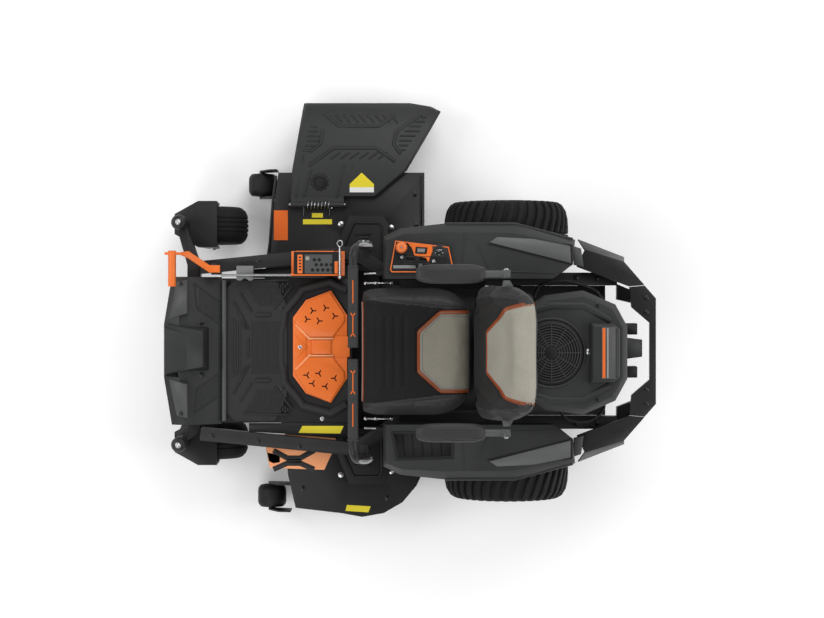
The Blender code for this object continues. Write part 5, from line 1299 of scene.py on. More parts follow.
# %% Hatch
HATCH_X = -0.0135
hatch_top = place("access_hatch")[1].z
from_solid("access_hatch", "orange_coat", 0.0025)
VENTS = ((-0.156, -0.389), (-0.167, -0.338), (-0.135, -0.303), (-0.123, -0.411), (-0.116, -0.364))
LOBE = [(-0.118, -0.459), (-0.193, -0.412), (-0.231, -0.320), (-0.141, -0.261), (-0.112, -0.261), (-0.052, -0.308),
        (-0.052, -0.402), (-0.104, -0.459)]


def vent(x, y, low, high, turn):
    """A three-armed opening as one closed outline, drawn up through the plate."""
    loop = []
    for k in range(3):
        arm = turn + 2 * math.pi * k / 3
        for out, off in ((0.0030, -1.047), (0.0150, -0.16), (0.0150, 0.16)):
            loop.append((x + out * math.cos(arm + off), y + out * math.sin(arm + off)))
    return prism(loop, low, high)


def cut_away(obj, shapes):
    """Takes shapes out of a piece with a Boolean, and keeps the result as its mesh."""
    points, faces = joined(*shapes)
    tool = mesh_object("cutter", [Vector(p) + HOME for p in points], faces)
    cut = obj.modifiers.new("Openings", "BOOLEAN")
    cut.operation = "DIFFERENCE"
    cut.object = tool
    cut.solver = "EXACT"
    settled(obj)
    bpy.data.objects.remove(tool)
    return obj


on_hatch = lambda x, y: hatch_top
# A thin black sheet under each lobe shows only through the vents: painted shade inside the openings.
vent_shade_sheets = [patch(outline, on_hatch, 0.0006, inset=0.002) for outline in both(LOBE, HATCH_X)]
piece("access_hatch_liner", joined(*vent_shade_sheets), "black_abs", "hatch", "black_plastic", bevel=0)
for number, outline in enumerate(both(LOBE, HATCH_X)):
    plate = piece(f"access_hatch_lobe_{number}", patch(outline, lambda x, y: hatch_top + 0.0008, 0.0055, sink=0, inset=0.006),
                  "orange_coat", "hatch", "orange_paint", bevel=0.0012)
    spots = VENTS if number == 0 else [(2 * HATCH_X - x, y) for x, y in VENTS]
    cut_away(plate, [vent(x, y, hatch_top - 0.001, hatch_top + 0.02, math.pi / 2 if number == 0 else -math.pi / 2) for x, y in spots])
    plate.data.set_sharp_from_angle(angle=math.radians(30))
centre_plate = patch([(HATCH_X - 0.028, -0.392), (HATCH_X + 0.028, -0.392), (HATCH_X + 0.028, -0.316), (HATCH_X - 0.028, -0.316)],
                     on_hatch, 0.003, inset=0.003)
wedge_plate = patch([(HATCH_X - 0.052, -0.4585), (HATCH_X + 0.052, -0.4585), (HATCH_X + 0.004, -0.412), (HATCH_X - 0.004, -0.412)],
                    on_hatch, 0.002, inset=0.002)
piece(
    "access_hatch_channel", joined(centre_plate, wedge_plate), "orange_coat", "hatch",
    "orange_paint", bevel=0.0008,
)
pale_edges = [
    ridge([(HATCH_X + side * 0.090, -0.4560), (HATCH_X + side * 0.030, -0.399)], 0.010, 0.0022, on_hatch, top=0.6)
    for side in (1, -1)
]
pale_edges += [
    ridge([(HATCH_X + side * 0.0335, -0.402), (HATCH_X + side * 0.0335, -0.308)], 0.008, 0.0026, on_hatch, top=0.6)
    for side in (1, -1)
]
piece("access_hatch_edges", joined(*pale_edges), "pale_orange", "hatch", "orange_paint", bevel=0.0005)
bolts("access_hatch_bolt", [(HATCH_X, -0.4385, hatch_top + 0.002)], "hatch", size=0.0055)
print("hatch vents:", 2 * len(VENTS))

# %% [markdown]
# ## Nose and footrest
# The nose is one moulding. Its sides slope down to the front edge, a block in the middle rises
# towards the driver, and behind them a sloping rest carries bricks for the feet.

# %% Nose
from_solid("nose_guard", "charcoal_abs", 0.003)
NOSE_X = -0.008
rest_slope = lambda x, y: 0.4515 - max(0.0, y + 0.860) * 0.471
flat_at = lambda z: (lambda x, y: z)


def raised(low_plan, low_z, top_points):
    """A block on a plan whose top corners each have their own height."""
    return loft([[(x, y, low_z) for x, y in low_plan], top_points])


facets = []
for side in (-1, 1):
    low_plan = [
        (NOSE_X + side * 0.112, -0.950), (NOSE_X + side * 0.136, -0.866),
        (NOSE_X + side * 0.270, -0.866), (NOSE_X + side * 0.262, -0.918),
    ]
    tops = [(NOSE_X + side * 0.116, -0.947, 0.446), (NOSE_X + side * 0.138, -0.872, 0.486),
            (NOSE_X + side * 0.268, -0.872, 0.474), (NOSE_X + side * 0.260, -0.915, 0.449)]
    facets.append(raised(low_plan, 0.430, tops))
# The side facets are painted a lighter grey than the rest of the moulding: a painted highlight.
piece("nose_side_facets", joined(*facets), "nose_highlight_abs", *MOULDED_PART, bevel=0.0015)
block_low = [
    (NOSE_X - 0.104, -0.958), (NOSE_X + 0.104, -0.958), (NOSE_X + 0.084, -0.792),
    (NOSE_X - 0.084, -0.792),
]
block_top = [(NOSE_X - 0.096, -0.953, 0.462), (NOSE_X + 0.096, -0.953, 0.462), (NOSE_X + 0.069, -0.808, 0.498),
             (NOSE_X - 0.069, -0.808, 0.498)]
piece("nose_centre_block", raised(block_low, 0.425, block_top), "charcoal_abs", *MOULDED_PART, bevel=0.0025)
foot_field = [(-0.247, -0.832), (-0.189, -0.752), (-0.112, -0.752), (-0.168, -0.828)]
places = [
    p for outline in both(foot_field, NOSE_X) for p in bricks_in(
        outline, rest_slope, 0.0150, 0.0094, -0.440,
    )
]
scatter("footrest_bricks", BRICK, places, "charcoal_abs", *MOULDED_PART, bevel=0.0008)
frames = []
for outline in both([(-0.262, -0.848), (-0.180, -0.742), (-0.098, -0.742), (-0.164, -0.838)], NOSE_X):
    frames.append(ridge([*outline, outline[0]], 0.007, 0.004, rest_slope, top=0.5))
piece("footrest_frames", joined(*frames), "charcoal_abs", *MOULDED_PART, bevel=0.0008)
nose_bolts = [(NOSE_X + s * 0.252, -0.895, 0.462) for s in (-1, 1)] + [
    (NOSE_X + s * 0.103, -0.820, 0.436) for s in (-1, 1)
]
bolts("nose_bolts", nose_bolts, "chassis", finish="dark_zinc", size=0.0075)
step_bar = bar([(-0.275, -0.735, 0.4085), (0.275, -0.735, 0.4085)], 0.009, 16)
piece("floor_front_tube", step_bar, "grey_abs", *STEEL_PART, bevel=0)
print("footrest bricks:", len(places))

# %% [markdown]
# ## Fender pods and controls
# Each pod is a hollow moulding over a rear tyre, with a raised panel let into its rear half: its
# lighter grey is a painted highlight, and a black edge round it is painted shade in the recess. The
# right one carries the control panel: a knob for the blades, a slotted throttle, a meter and a key.

# %% Pods
POD_TOP = place("side_pod_left")[1].z
on_pod = flat_at(POD_TOP)
for side_name, side in SIDES.items():
    from_solid(f"side_pod_{side_name}", "charcoal_abs", 0.004, segments=3)
    plan = [(side * 0.4165, 0.292), (side * 0.4560, 0.344), (side * 0.4020, 0.604), (side * 0.336, 0.606)]
    recess = [(side * 0.4100, 0.281), (side * 0.4620, 0.338), (side * 0.4075, 0.611), (side * 0.328, 0.611)]
    tilt_level = lambda x, y: POD_TOP - max(0.0, abs(x) - 0.440) * 0.9
    # The black sheet round each panel is painted shade in the recess at its edge; the panel's lighter grey is a painted
    # highlight.
    piece(f"side_pod_{side_name}_seam", patch(recess, tilt_level, 0.0012, inset=0.001), "black_abs", *MOULDED_PART, bevel=0)
    piece(f"side_pod_{side_name}_panel", patch(plan, tilt_level, 0.007, inset=0.004), "pod_panel_highlight_abs", *MOULDED_PART, bevel=0.0015)
    crease = [
        [(side * 0.300, 0.545), (side * 0.306, 0.30), (side * 0.405, 0.250)],
        [(side * 0.318, 0.190), (side * 0.452, 0.200)],
    ]
    piece(f"side_pod_{side_name}_creases", joined(*[ridge(line, 0.007, 0.0028, on_pod) for line in crease]), "charcoal_abs",
          "chassis", "black_plastic", bevel=0.0008)
    lip = [(side * 0.489, 0.128), (side * 0.489, 0.395), (side * 0.430, 0.616)]
    piece(f"side_pod_{side_name}_fender_lip", ridge(lip, 0.012, 0.006, flat_at(0.5545), top=0.6), "charcoal_abs", *MOULDED_PART, bevel=0.001)
    bridge = [(side * 0.405, 0.6205), (side * 0.332, 0.6205), (side * 0.322, 0.660), (side * 0.396, 0.650)]
    piece(f"side_pod_{side_name}_bridge", patch(bridge, flat_at(0.535), 0.006, sink=0.004, inset=0.002), "grey_abs", *STEEL_PART, bevel=0.001)
    # Two black discs on the guard paint the shade seen in its holes.
    dots = [(side * 0.3145, 0.779, 0.5265), (side * 0.3040, 0.812, 0.5265)]
    scatter(f"rear_guard_{side_name}_holes", cylinder((0, 0, 0), (0, 0, 1), 0.0055, 0.0016, 14), [(p, (0, 0, 0)) for p in dots],
            "black_abs", *STEEL_PART)
tray_line = [(0.306, -0.076), (0.411, -0.057), (0.404, 0.156), (0.306, 0.156), (0.306, -0.076)]
piece(
    "storage_tray_rim", ridge(tray_line, 0.008, 0.004, on_pod, top=0.6), "black_abs", *MOULDED_PART,
    bevel=0.001,
)
tray_ribs = [
    ridge([(0.318, y), (0.398, y + 0.008)], 0.005, 0.003, flat_at(POD_TOP - 0.055))
    for y in (-0.035, 0.0, 0.035, 0.070, 0.105)
]
piece("storage_tray_mat", joined(*tray_ribs), "mat", *RUBBER_PART, bevel=0.0006)
print("pods:", list(SIDES))

# %% Control panel
from_solid("control_panel", "black_abs", 0.0015)
PANEL_TOP = place("control_panel")[1].z
on_panel = flat_at(PANEL_TOP)
edge_line = [(-0.4205, -0.0620), (-0.3120, -0.0815), (-0.3040, -0.0760), (-0.3040, 0.145), (-0.335, 0.1515), (-0.397, 0.138),
             (-0.4205, -0.0620)]
piece(
    "control_panel_edge", ridge(edge_line, 0.0055, 0.002, on_panel, top=0.6), "orange_coat",
    *ORANGE_PART, bevel=0.0006,
)
field = [
    (-0.4165, -0.0190), (-0.4040, 0.0845), (-0.3400, 0.0625), (-0.3563, 0.0532), (-0.3670, 0.0091),
    (-0.3951, -0.0004),
]
piece(
    "control_panel_field", patch(field, on_panel, 0.0012, sink=0.0005), "orange_coat", *ORANGE_PART,
    bevel=0,
)
meter = [(-0.4000, 0.0135), (-0.3730, 0.0110), (-0.3715, 0.0560), (-0.3970, 0.0600)]
window = [(-0.3930, 0.0210), (-0.3790, 0.0200), (-0.3785, 0.0480), (-0.3915, 0.0500)]
piece(
    "hour_meter_frame", patch(meter, on_panel, 0.0028, sink=0.0005, inset=0.0012), "black_abs",
    *MOULDED_PART, bevel=0.0005,
)
piece(
    "hour_meter_glass", patch(window, flat_at(PANEL_TOP + 0.0028), 0.0006, sink=0.0003),
    "light_abs", *MOULDED_PART, bevel=0,
)
print("meter at", meter[0])
key_x, key_y = -0.385, 0.103
key_ring = turned(
    [(0.008, 0), (0.021, 0), (0.020, 0.003), (0.009, 0.004)], (key_x, key_y, PANEL_TOP), (0, 0, 1),
    28,
)
piece("key_bezel", key_ring, "charcoal_abs", *MOULDED_PART, bevel=0)
marks = [
    ((key_x + 0.0165 * math.cos(t), key_y + 0.0165 * math.sin(t), PANEL_TOP + 0.0036), (0, 0, 0))
    for t in (-1.0, 0.0, 1.0)
]
scatter("key_marks", cylinder((0, 0, 0), (0, 0, 1), 0.0016, 0.0012, 10), marks, "white_film", *MOULDED_PART)
slot_frames = []
for x in (-0.352, -0.326):
    loop = [
        (x - 0.010, -0.030), (x + 0.010, -0.030), (x + 0.010, 0.068), (x - 0.010, 0.068),
        (x - 0.010, -0.030),
    ]
    slot_frames.append(ridge(loop, 0.0035, 0.002, on_panel, top=0.6))
piece("lever_slot_frames", joined(*slot_frames), "charcoal_abs", *MOULDED_PART, bevel=0.0004)
rail_bar = [(-0.329, -0.072), (-0.329, 0.014), (-0.317, 0.014), (-0.317, -0.072)]
piece(
    "lever_slot_bar", patch(rail_bar, on_panel, 0.0022, sink=0.0005, inset=0.0015), "light_abs",
    *MOULDED_PART, bevel=0.0005,
)
bolts(
    "control_panel_screws", [(-0.3605, -0.0384, PANEL_TOP), (-0.345, 0.082, PANEL_TOP)], "chassis",
    size=0.0042,
)
switch_plan = [(key_x - 0.024, key_y - 0.026), (key_x + 0.022, key_y - 0.026), (key_x + 0.026, key_y + 0.020), (key_x + 0.008, key_y + 0.032),
               (key_x - 0.022, key_y + 0.028)]
piece(
    "switch_plate", patch(switch_plan, on_panel, 0.0016, sink=0.0005, inset=0.001), "charcoal_abs",
    *MOULDED_PART, bevel=0.0004,
)
choke = joined(block((-0.330, 0.028, PANEL_TOP - 0.002), (-0.322, 0.034, PANEL_TOP + 0.018)),
               block((-0.334, 0.024, PANEL_TOP + 0.016), (-0.318, 0.040, PANEL_TOP + 0.030)))
piece("choke_lever", choke, "grey_abs", *MOULDED_PART, bevel=0.002)
knob_centre = (-0.396, -0.040, PANEL_TOP)
dome = turned(
    [
        (0.0045, 0.010), (0.019, 0.015), (0.0215, 0.020), (0.0215, 0.030), (0.018, 0.036),
        (0.010, 0.0395), (0, 0.0405), (0, 0.010),
    ],
    knob_centre, (0, 0, 1), 36,
)
piece(
    "blade_knob_dome", dome, "orange_coat", "blade_knob", "orange_paint", bevel=0, smooth=60,
    replaces=["blade_knob"],
)
piece(
    "blade_knob_stem",
    cylinder((knob_centre[0], knob_centre[1], PANEL_TOP + 0.003), (0, 0, 1), 0.0046, 0.018, 20),
    "zinc", "blade_knob", "bare_metal", bevel=0.0005,
)
grips = block((0.0195, -0.0016, 0.019), (0.0225, 0.0016, 0.031))
ring(
    "blade_knob_grips", grips, 14, knob_centre, (0, 0, 1), "orange_coat", "blade_knob",
    "orange_paint", bevel=0.0005,
)

top_ring = turned(
    [(0.0115, -0.002), (0.0145, -0.002), (0.0140, 0.0012), (0.0120, 0.0012)],
    (*knob_centre[:2], PANEL_TOP + 0.0385), (0, 0, 1), 32,
)
piece("blade_knob_ring", top_ring, "pale_orange", "blade_knob", "orange_paint", bevel=0)
cap = turned(
    [(0, -0.002), (0.004, -0.002), (0.004, 0.0012), (0, 0.0016)],
    (*knob_centre[:2], PANEL_TOP + 0.0402), (0, 0, 1), 16,
)
piece("blade_knob_cap", cap, "light_abs", "blade_knob", "orange_paint", bevel=0)

# %% [markdown]
# ## Engine
# The shroud is a plastic cover over the fan, whose guard is a moulded grille: rings and spokes over
# dark depth. The V-twin's finned cylinders show below it from the sides.

# %% Shroud, fan and filter
from_solid("engine_shroud", "charcoal_abs", 0.006, segments=3)
from_solid("air_filter_cover", "charcoal_abs", 0.005, segments=3)
from_solid("fan_screen", "black_abs", 0.0008)
fan_low, fan_high = place("fan_screen")
FAN = ((fan_low.x + fan_high.x) / 2, (fan_low.y + fan_high.y) / 2)
FAN_TOP = fan_high.z
rings = []
for k in range(9):
    radius = 0.030 + k * 0.0098
    rings.append(turned([(radius - 0.0016, -0.001), (radius + 0.0016, -0.001), (radius + 0.0012, 0.0028), (radius - 0.0012, 0.0028)],
                        (*FAN, FAN_TOP - 0.0022 * (k > 7)), (0, 0, 1), 64))
piece("fan_guard_rings", joined(*rings), "fan_abs", "crankshaft", "black_plastic", bevel=0)
spoke = loft([[(r, -w, 0.0), (r, w, 0.0), (r, w * 0.6, 0.0036), (r, -w * 0.6, 0.0036)] for r, w in ((0.018, 0.0018), (0.111, 0.0018))])
ring(
    "fan_guard_spokes", spoke, 12, (*FAN, FAN_TOP - 0.001), (0, 0, 1), "fan_abs", "crankshaft",
    "black_plastic",
)
hub = turned(
    [(0, -0.001), (0.024, -0.001), (0.022, 0.003), (0.012, 0.005), (0, 0.0055)], (*FAN, FAN_TOP),
    (0, 0, 1), 36,
)
piece("fan_guard_hub", hub, "black_abs", "crankshaft", "black_plastic", bevel=0)
SHROUD_TOP = place("engine_shroud")[1].z
rim = turned(
    [(0.1235, -0.004), (0.1235, 0.003), (0.1275, 0.0045), (0.1315, 0.003), (0.1325, -0.004)],
    (*FAN, SHROUD_TOP), (0, 0, 1), 72,
)
piece("fan_opening_rim", rim, "charcoal_abs", *MOULDED_PART, bevel=0)
bolts("shroud_bolts", [(-0.004, 0.6545, SHROUD_TOP)], "chassis", size=0.0075)
bolts(
    "shroud_rim_bolts", [(side * 0.176, y, SHROUD_TOP) for side in (-1, 1) for y in (0.500, 0.690)],
    "chassis", finish="dark_zinc", size=0.006,
)
swells = [ridge([(side * 0.150, 0.425), (side * 0.176, 0.520), (side * 0.176, 0.640), (side * 0.120, 0.740)], 0.034, 0.007,
                flat_at(SHROUD_TOP), top=0.35, sink=0.001) for side in (-1, 1)]
piece("shroud_swells", joined(*swells), "charcoal_abs", *MOULDED_PART, bevel=0.003, segments=3)
filter_low, filter_high = place("air_filter_cover")
on_filter = flat_at(filter_high.z)
panel = [
    (filter_low.x + 0.016, 0.700), (filter_high.x - 0.016, 0.700), (filter_high.x - 0.016, 0.752),
    (filter_low.x + 0.016, 0.752),
]
piece(
    "filter_cover_panel", patch(panel, on_filter, 0.002, inset=0.001), "grey_abs", *MOULDED_PART,
    bevel=0.0006,
)
stripes = [ridge([(filter_low.x + 0.020, y), (filter_high.x - 0.020, y)], w, 0.0032, on_filter, top=0.8)
           for y, w in ((0.709, 0.012),)]
piece("filter_cover_orange_stripe", joined(*stripes), "orange_film", *MOULDED_PART, bevel=0)
piece("filter_cover_white_stripe", ridge([(filter_low.x + 0.020, 0.7235), (filter_high.x - 0.020, 0.7235)], 0.002, 0.0032, on_filter, top=0.8),
      "white_film", *MOULDED_PART, bevel=0)
tail = [(-0.056, 0.802), (0.030, 0.802), (0.020, 0.880), (-0.046, 0.880)]
piece(
    "engine_heat_shield",
    patch(tail, lambda x, y: 0.585 - (y - 0.80) * 0.15, 0.004, sink=0.004, inset=0.001),
    "charcoal_abs", *STEEL_PART, bevel=0.001,
)
stay = [block((x, 0.812, 0.455), (x + 0.044, 0.868, 0.520)) for x in (-0.108, 0.058)]
piece("engine_tail_brackets", joined(*stay), "black_abs", *STEEL_PART, bevel=0.003)

# %% Engine block and cylinder fins
from_solid("engine_block", "cast_aluminium", 0.002)
ENGINE_LOW = place("engine_block")[0].z
fins = []
for side in (-1, 1):
    lean = Vector((side * math.sin(math.radians(45)), -math.cos(math.radians(45)), 0))
    start = Vector((0, 0.518, ENGINE_LOW + 0.125))
    turn = (0, 0, math.atan2(lean.y, lean.x))
    for k in range(9):
        fins.append((tuple(start + lean * (0.105 + k * 0.0125)), turn))
fin = prism([(-0.0013, -0.068), (0.0013, -0.068), (0.0013, 0.068), (-0.0013, 0.068)], -0.058, 0.058)
scatter("cylinder_fins", fin, fins, "cast_aluminium", *BARE_PART, bevel=0.0008)
covers = []
for side in (-1, 1):
    lean = Vector((side * math.sin(math.radians(45)), -math.cos(math.radians(45)), 0))
    at = Vector((0, 0.518, ENGINE_LOW + 0.125)) + lean * 0.235
    covers.append(
        turned([(0, -0.002), (0.046, -0.002), (0.046, 0.010), (0.040, 0.018), (0, 0.019)], at, lean, 4)
    )
piece("rocker_covers", joined(*covers), "dark_casting", *BARE_PART, bevel=0.004, segments=3)
hose_route = smooth_route(
    [
        (0.215, 0.560, 0.500), (0.262, 0.600, 0.492), (0.272, 0.680, 0.470), (0.236, 0.740, 0.452),
        (0.180, 0.752, 0.440),
    ],
    8,
)
piece("fuel_hose", bar(hose_route, 0.0055, 12), "hose", *RUBBER_PART, bevel=0)
loom_route = smooth_route(
    [
        (-0.205, 0.470, 0.505), (-0.255, 0.500, 0.490), (-0.268, 0.600, 0.470),
        (-0.240, 0.700, 0.462), (-0.200, 0.742, 0.455),
    ],
    8,
)
piece("wiring_loom", bar(loom_route, 0.0065, 12), "hose", *RUBBER_PART, bevel=0)
print("cylinder fins:", len(fins))

# %% [markdown]
# ## Deck and chute
# The cutting deck is a pressed steel shell, and a moulded chute throws the clippings to the right. The
# chute's top is embossed: four angular ridges with slanted louvres between them, ribs that run back
# from the hinge, and a toothed round boss. Heights come from a ray dropped onto the solid below.

# %% Heights on a solid
def level_on(node, fallback=None):
    """A function that gives the height of a solid's top surface at a plan point."""
    mesh = frame["nodes"][node].data
    tree = BVHTree.FromPolygons([v.co for v in mesh.vertices], [p.vertices for p in mesh.polygons])
    top = place(node)[1].z if fallback is None else fallback

    def level(x, y):
        spot = tree.ray_cast(Vector((x, y, 3.0)) + HOME, Vector((0, 0, -1)))[0]
        return top if spot is None else spot.z
    return level


# %% Chute
from_solid("discharge_chute", "charcoal_abs", 0.003, segments=3)
on_chute = level_on("discharge_chute", 0.200)
frames = [
    [(-0.956, -0.360), (-0.899, -0.294), (-0.899, -0.133), (-0.948, -0.068)],
    [(-0.952, 0.040), (-0.874, -0.064), (-0.825, -0.074), (-0.787, -0.047)],
    [(-0.738, -0.413), (-0.810, -0.314), (-0.810, -0.146), (-0.755, -0.068)],
    [(-0.886, -0.360), (-0.828, -0.368), (-0.796, -0.409)],
]
edges = [ridge(line, 0.016, 0.006, on_chute, top=0.35) for line in frames]
for start_x, end_x, y in (
    (-0.779, -0.612, -0.456), (-0.722, -0.612, -0.424), (-0.738, -0.612, -0.291),
    (-0.742, -0.612, -0.256),
):
    edges.append(ridge([(start_x, y + 0.018), (end_x, y - 0.010)], 0.009, 0.006, on_chute, top=0.4))
piece("chute_ridges", joined(*edges), "charcoal_abs", *CHUTE_PART, bevel=0.0012)
louvres = []
for k in range(8):
    louvres.append([(-0.950, -0.310 + k * 0.032), (-0.915, -0.282 + k * 0.032)])
    if k < 6:
        louvres.append([(-0.766, -0.325 + k * 0.038), (-0.792, -0.288 + k * 0.038)])
for k, (start, end) in enumerate(((0.038, 0.058), (0.012, 0.052), (-0.010, 0.038), (-0.030, 0.030), (-0.050, 0.014),
                                  (-0.052, -0.002), (-0.052, -0.016), (-0.044, -0.026))):
    louvres.append([(-0.938 + k * 0.0195, start), (-0.938 + k * 0.0195, end)])
for k, (start, end) in enumerate(
    (
        (-0.408, -0.384), (-0.418, -0.378), (-0.424, -0.374), (-0.424, -0.376), (-0.430, -0.388),
        (-0.440, -0.400),
    )
):
    louvres.append([(-0.898 + k * 0.0197, start), (-0.898 + k * 0.0197, end)])
piece(
    "chute_louvres", joined(*[ridge(line, 0.0085, 0.0042, on_chute, top=0.3) for line in louvres]),
    "charcoal_abs", *CHUTE_PART, bevel=0.0008,
)
boss_x, boss_y, teeth = -0.672, -0.370, 12
boss = []
for k in range(teeth * 4):
    radius = 0.037 if k % 4 in (1, 2) else 0.031
    boss.append(
        (
            boss_x + radius * math.cos(math.pi * k / teeth / 2),
            boss_y + radius * math.sin(math.pi * k / teeth / 2),
        )
    )
gear = patch(boss, on_chute, 0.004, inset=0.0015)
inner_ring = turned(
    [(0.020, 0.0), (0.0245, 0.0), (0.0235, 0.0035), (0.021, 0.0035)],
    (boss_x, boss_y, on_chute(boss_x, boss_y) + 0.0038), (0, 0, 1), 36,
)
piece("chute_boss", joined(gear, inner_ring), "black_abs", *CHUTE_PART, bevel=0.0006)
pent = [(-0.651, -0.250), (-0.651, -0.153), (-0.664, -0.153), (-0.710, -0.202), (-0.664, -0.250)]
strip = [(-0.631, -0.250), (-0.631, -0.153), (-0.6512, -0.153), (-0.6512, -0.250)]
piece("chute_label_yellow", patch(pent, on_chute, 0.0008, sink=0.0005), "yellow_film", *CHUTE_PART, bevel=0)
piece("chute_label_white", patch(strip, on_chute, 0.0008, sink=0.0005), "white_film", *CHUTE_PART, bevel=0)
PIN_X, PIN_Z = -0.582, 0.222
piece(
    "chute_hinge_rod", bar([(PIN_X, -0.500, PIN_Z), (PIN_X, -0.262, PIN_Z)], 0.0056, 16), "zinc",
    "deck", "bare_metal", bevel=0,
)
coil = [
    (PIN_X + 0.0158 * math.cos(t * 0.5), -0.420 + t * 0.0011, PIN_Z + 0.0158 * math.sin(t * 0.5))
    for t in range(90)
]
springs = [bar([*coil[:-1], coil[-1]], 0.0016, 6)]
for y in (-0.434, -0.330):
    springs.append(bar([(PIN_X + 0.010, y, PIN_Z + 0.004), (PIN_X + 0.045, y - 0.002, 0.2040)], 0.0018, 8))
piece("chute_springs", joined(*springs), "zinc", "deck", "bare_metal", bevel=0)
print("chute louvres:", len(louvres))

# %% Deck trim
on_deck = level_on("deck_shell", 0.2)
labels = {
    "yellow_film": ([(-0.549, -0.403), (-0.531, -0.403), (-0.531, -0.3586), (-0.549, -0.3586)],
                    [(-0.524, -0.439), (-0.504, -0.439), (-0.504, -0.322), (-0.524, -0.322)],
                    [(0.626, -0.262), (0.650, -0.268), (0.656, -0.176), (0.632, -0.166)]),
}
for finish, outlines in labels.items():
    plates = [patch(outline, on_deck, 0.0008, sink=0.0005) for outline in outlines]
    piece(f"deck_labels_{finish.split('_')[0]}", joined(*plates), finish, "deck", "painted_steel", bevel=0)
front_label = [(-0.560, -0.556), (-0.560, -0.500), (-0.440, -0.500), (-0.440, -0.556)]
piece(
    "deck_front_label", patch(front_label, on_deck, 0.0012, sink=0.0002), "orange_film", "deck",
    "painted_steel", bevel=0,
)
for side_name, side in SIDES.items():
    on_cover = level_on(f"spindle_cover_{side_name}")
    loop = [(side * x, y) for x, y in ((0.345, -0.272), (0.415, -0.272), (0.506, -0.232), (0.506, -0.132), (0.490, -0.122), (0.345, -0.122))]
    shapes = [ridge([*loop, loop[0]], 0.012, 0.005, on_cover, top=0.5)]
    shapes += [
        ridge([(side * (0.365 + 0.032 * k), -0.165), (side * (0.365 + 0.032 * k), -0.230)], 0.010, 0.004, on_cover)
        for k in range(4)
    ]
    piece(f"spindle_cover_{side_name}_ribs", joined(*shapes), "black_abs", "deck", "black_plastic", bevel=0.001)
    bolts(f"spindle_cover_{side_name}_nuts", [(side * x, y, on_cover(side * x, y)) for x, y in ((0.330, -0.286),)],
          "deck", size=0.008)
front_lip = [ridge([(-0.700, -0.548), (-0.600, -0.560), (-0.390, -0.575)], 0.012, 0.004, on_deck),
             ridge([(-0.700, 0.036), (-0.470, 0.036)], 0.012, 0.004, on_deck)]
piece("deck_pressed_edges", joined(*front_lip), "deck_coat", "deck", "painted_steel", bevel=0.001)
deck_bolts = [
    (-0.690, -0.30, 0), (-0.690, -0.08, 0), (-0.625, 0.010, 0), (0.598, -0.10, 0),
    (0.560, -0.440, 0), (-0.500, 0.015, 0),
]
nuts = [(side * x, y) for side in (1, -1) for x, y in ((0.504, -0.286), (0.490, -0.084))]
bolts("deck_nuts", [(x, y, on_deck(x, y)) for x, y in nuts], "deck", size=0.0085)
bolts(
    "deck_bolts", [(x, y, on_deck(x, y)) for x, y, _ in deck_bolts], "deck", finish="dark_zinc",
    size=0.0075,
)
for side_name in SIDES:
    low, high = place(f"gauge_wheel_{side_name}")
    middle = [(a + b) / 2 for a, b in zip(low, high)]
    outward = (1, 0, 0) if side_name == "left" else (-1, 0, 0)
    tip = high.x + 0.006 if side_name == "left" else low.x - 0.006
    bolts(f"gauge_wheel_{side_name}_nut", [((tip, middle[1], middle[2]), outward)], "deck", size=0.0085)
print("deck labels:", sum(len(v) for v in labels.values()))

# %% [markdown]
# ## Levers, lap bars and the lift pedal
# The lap bars meet over the driver's knees, sleeved in closed-cell foam with thin orange marks. Each
# lever has a domed zinc cover at its swing-out pivot and a zinc cap at the bend of its bar, and bright
# links run back to the pump controls.

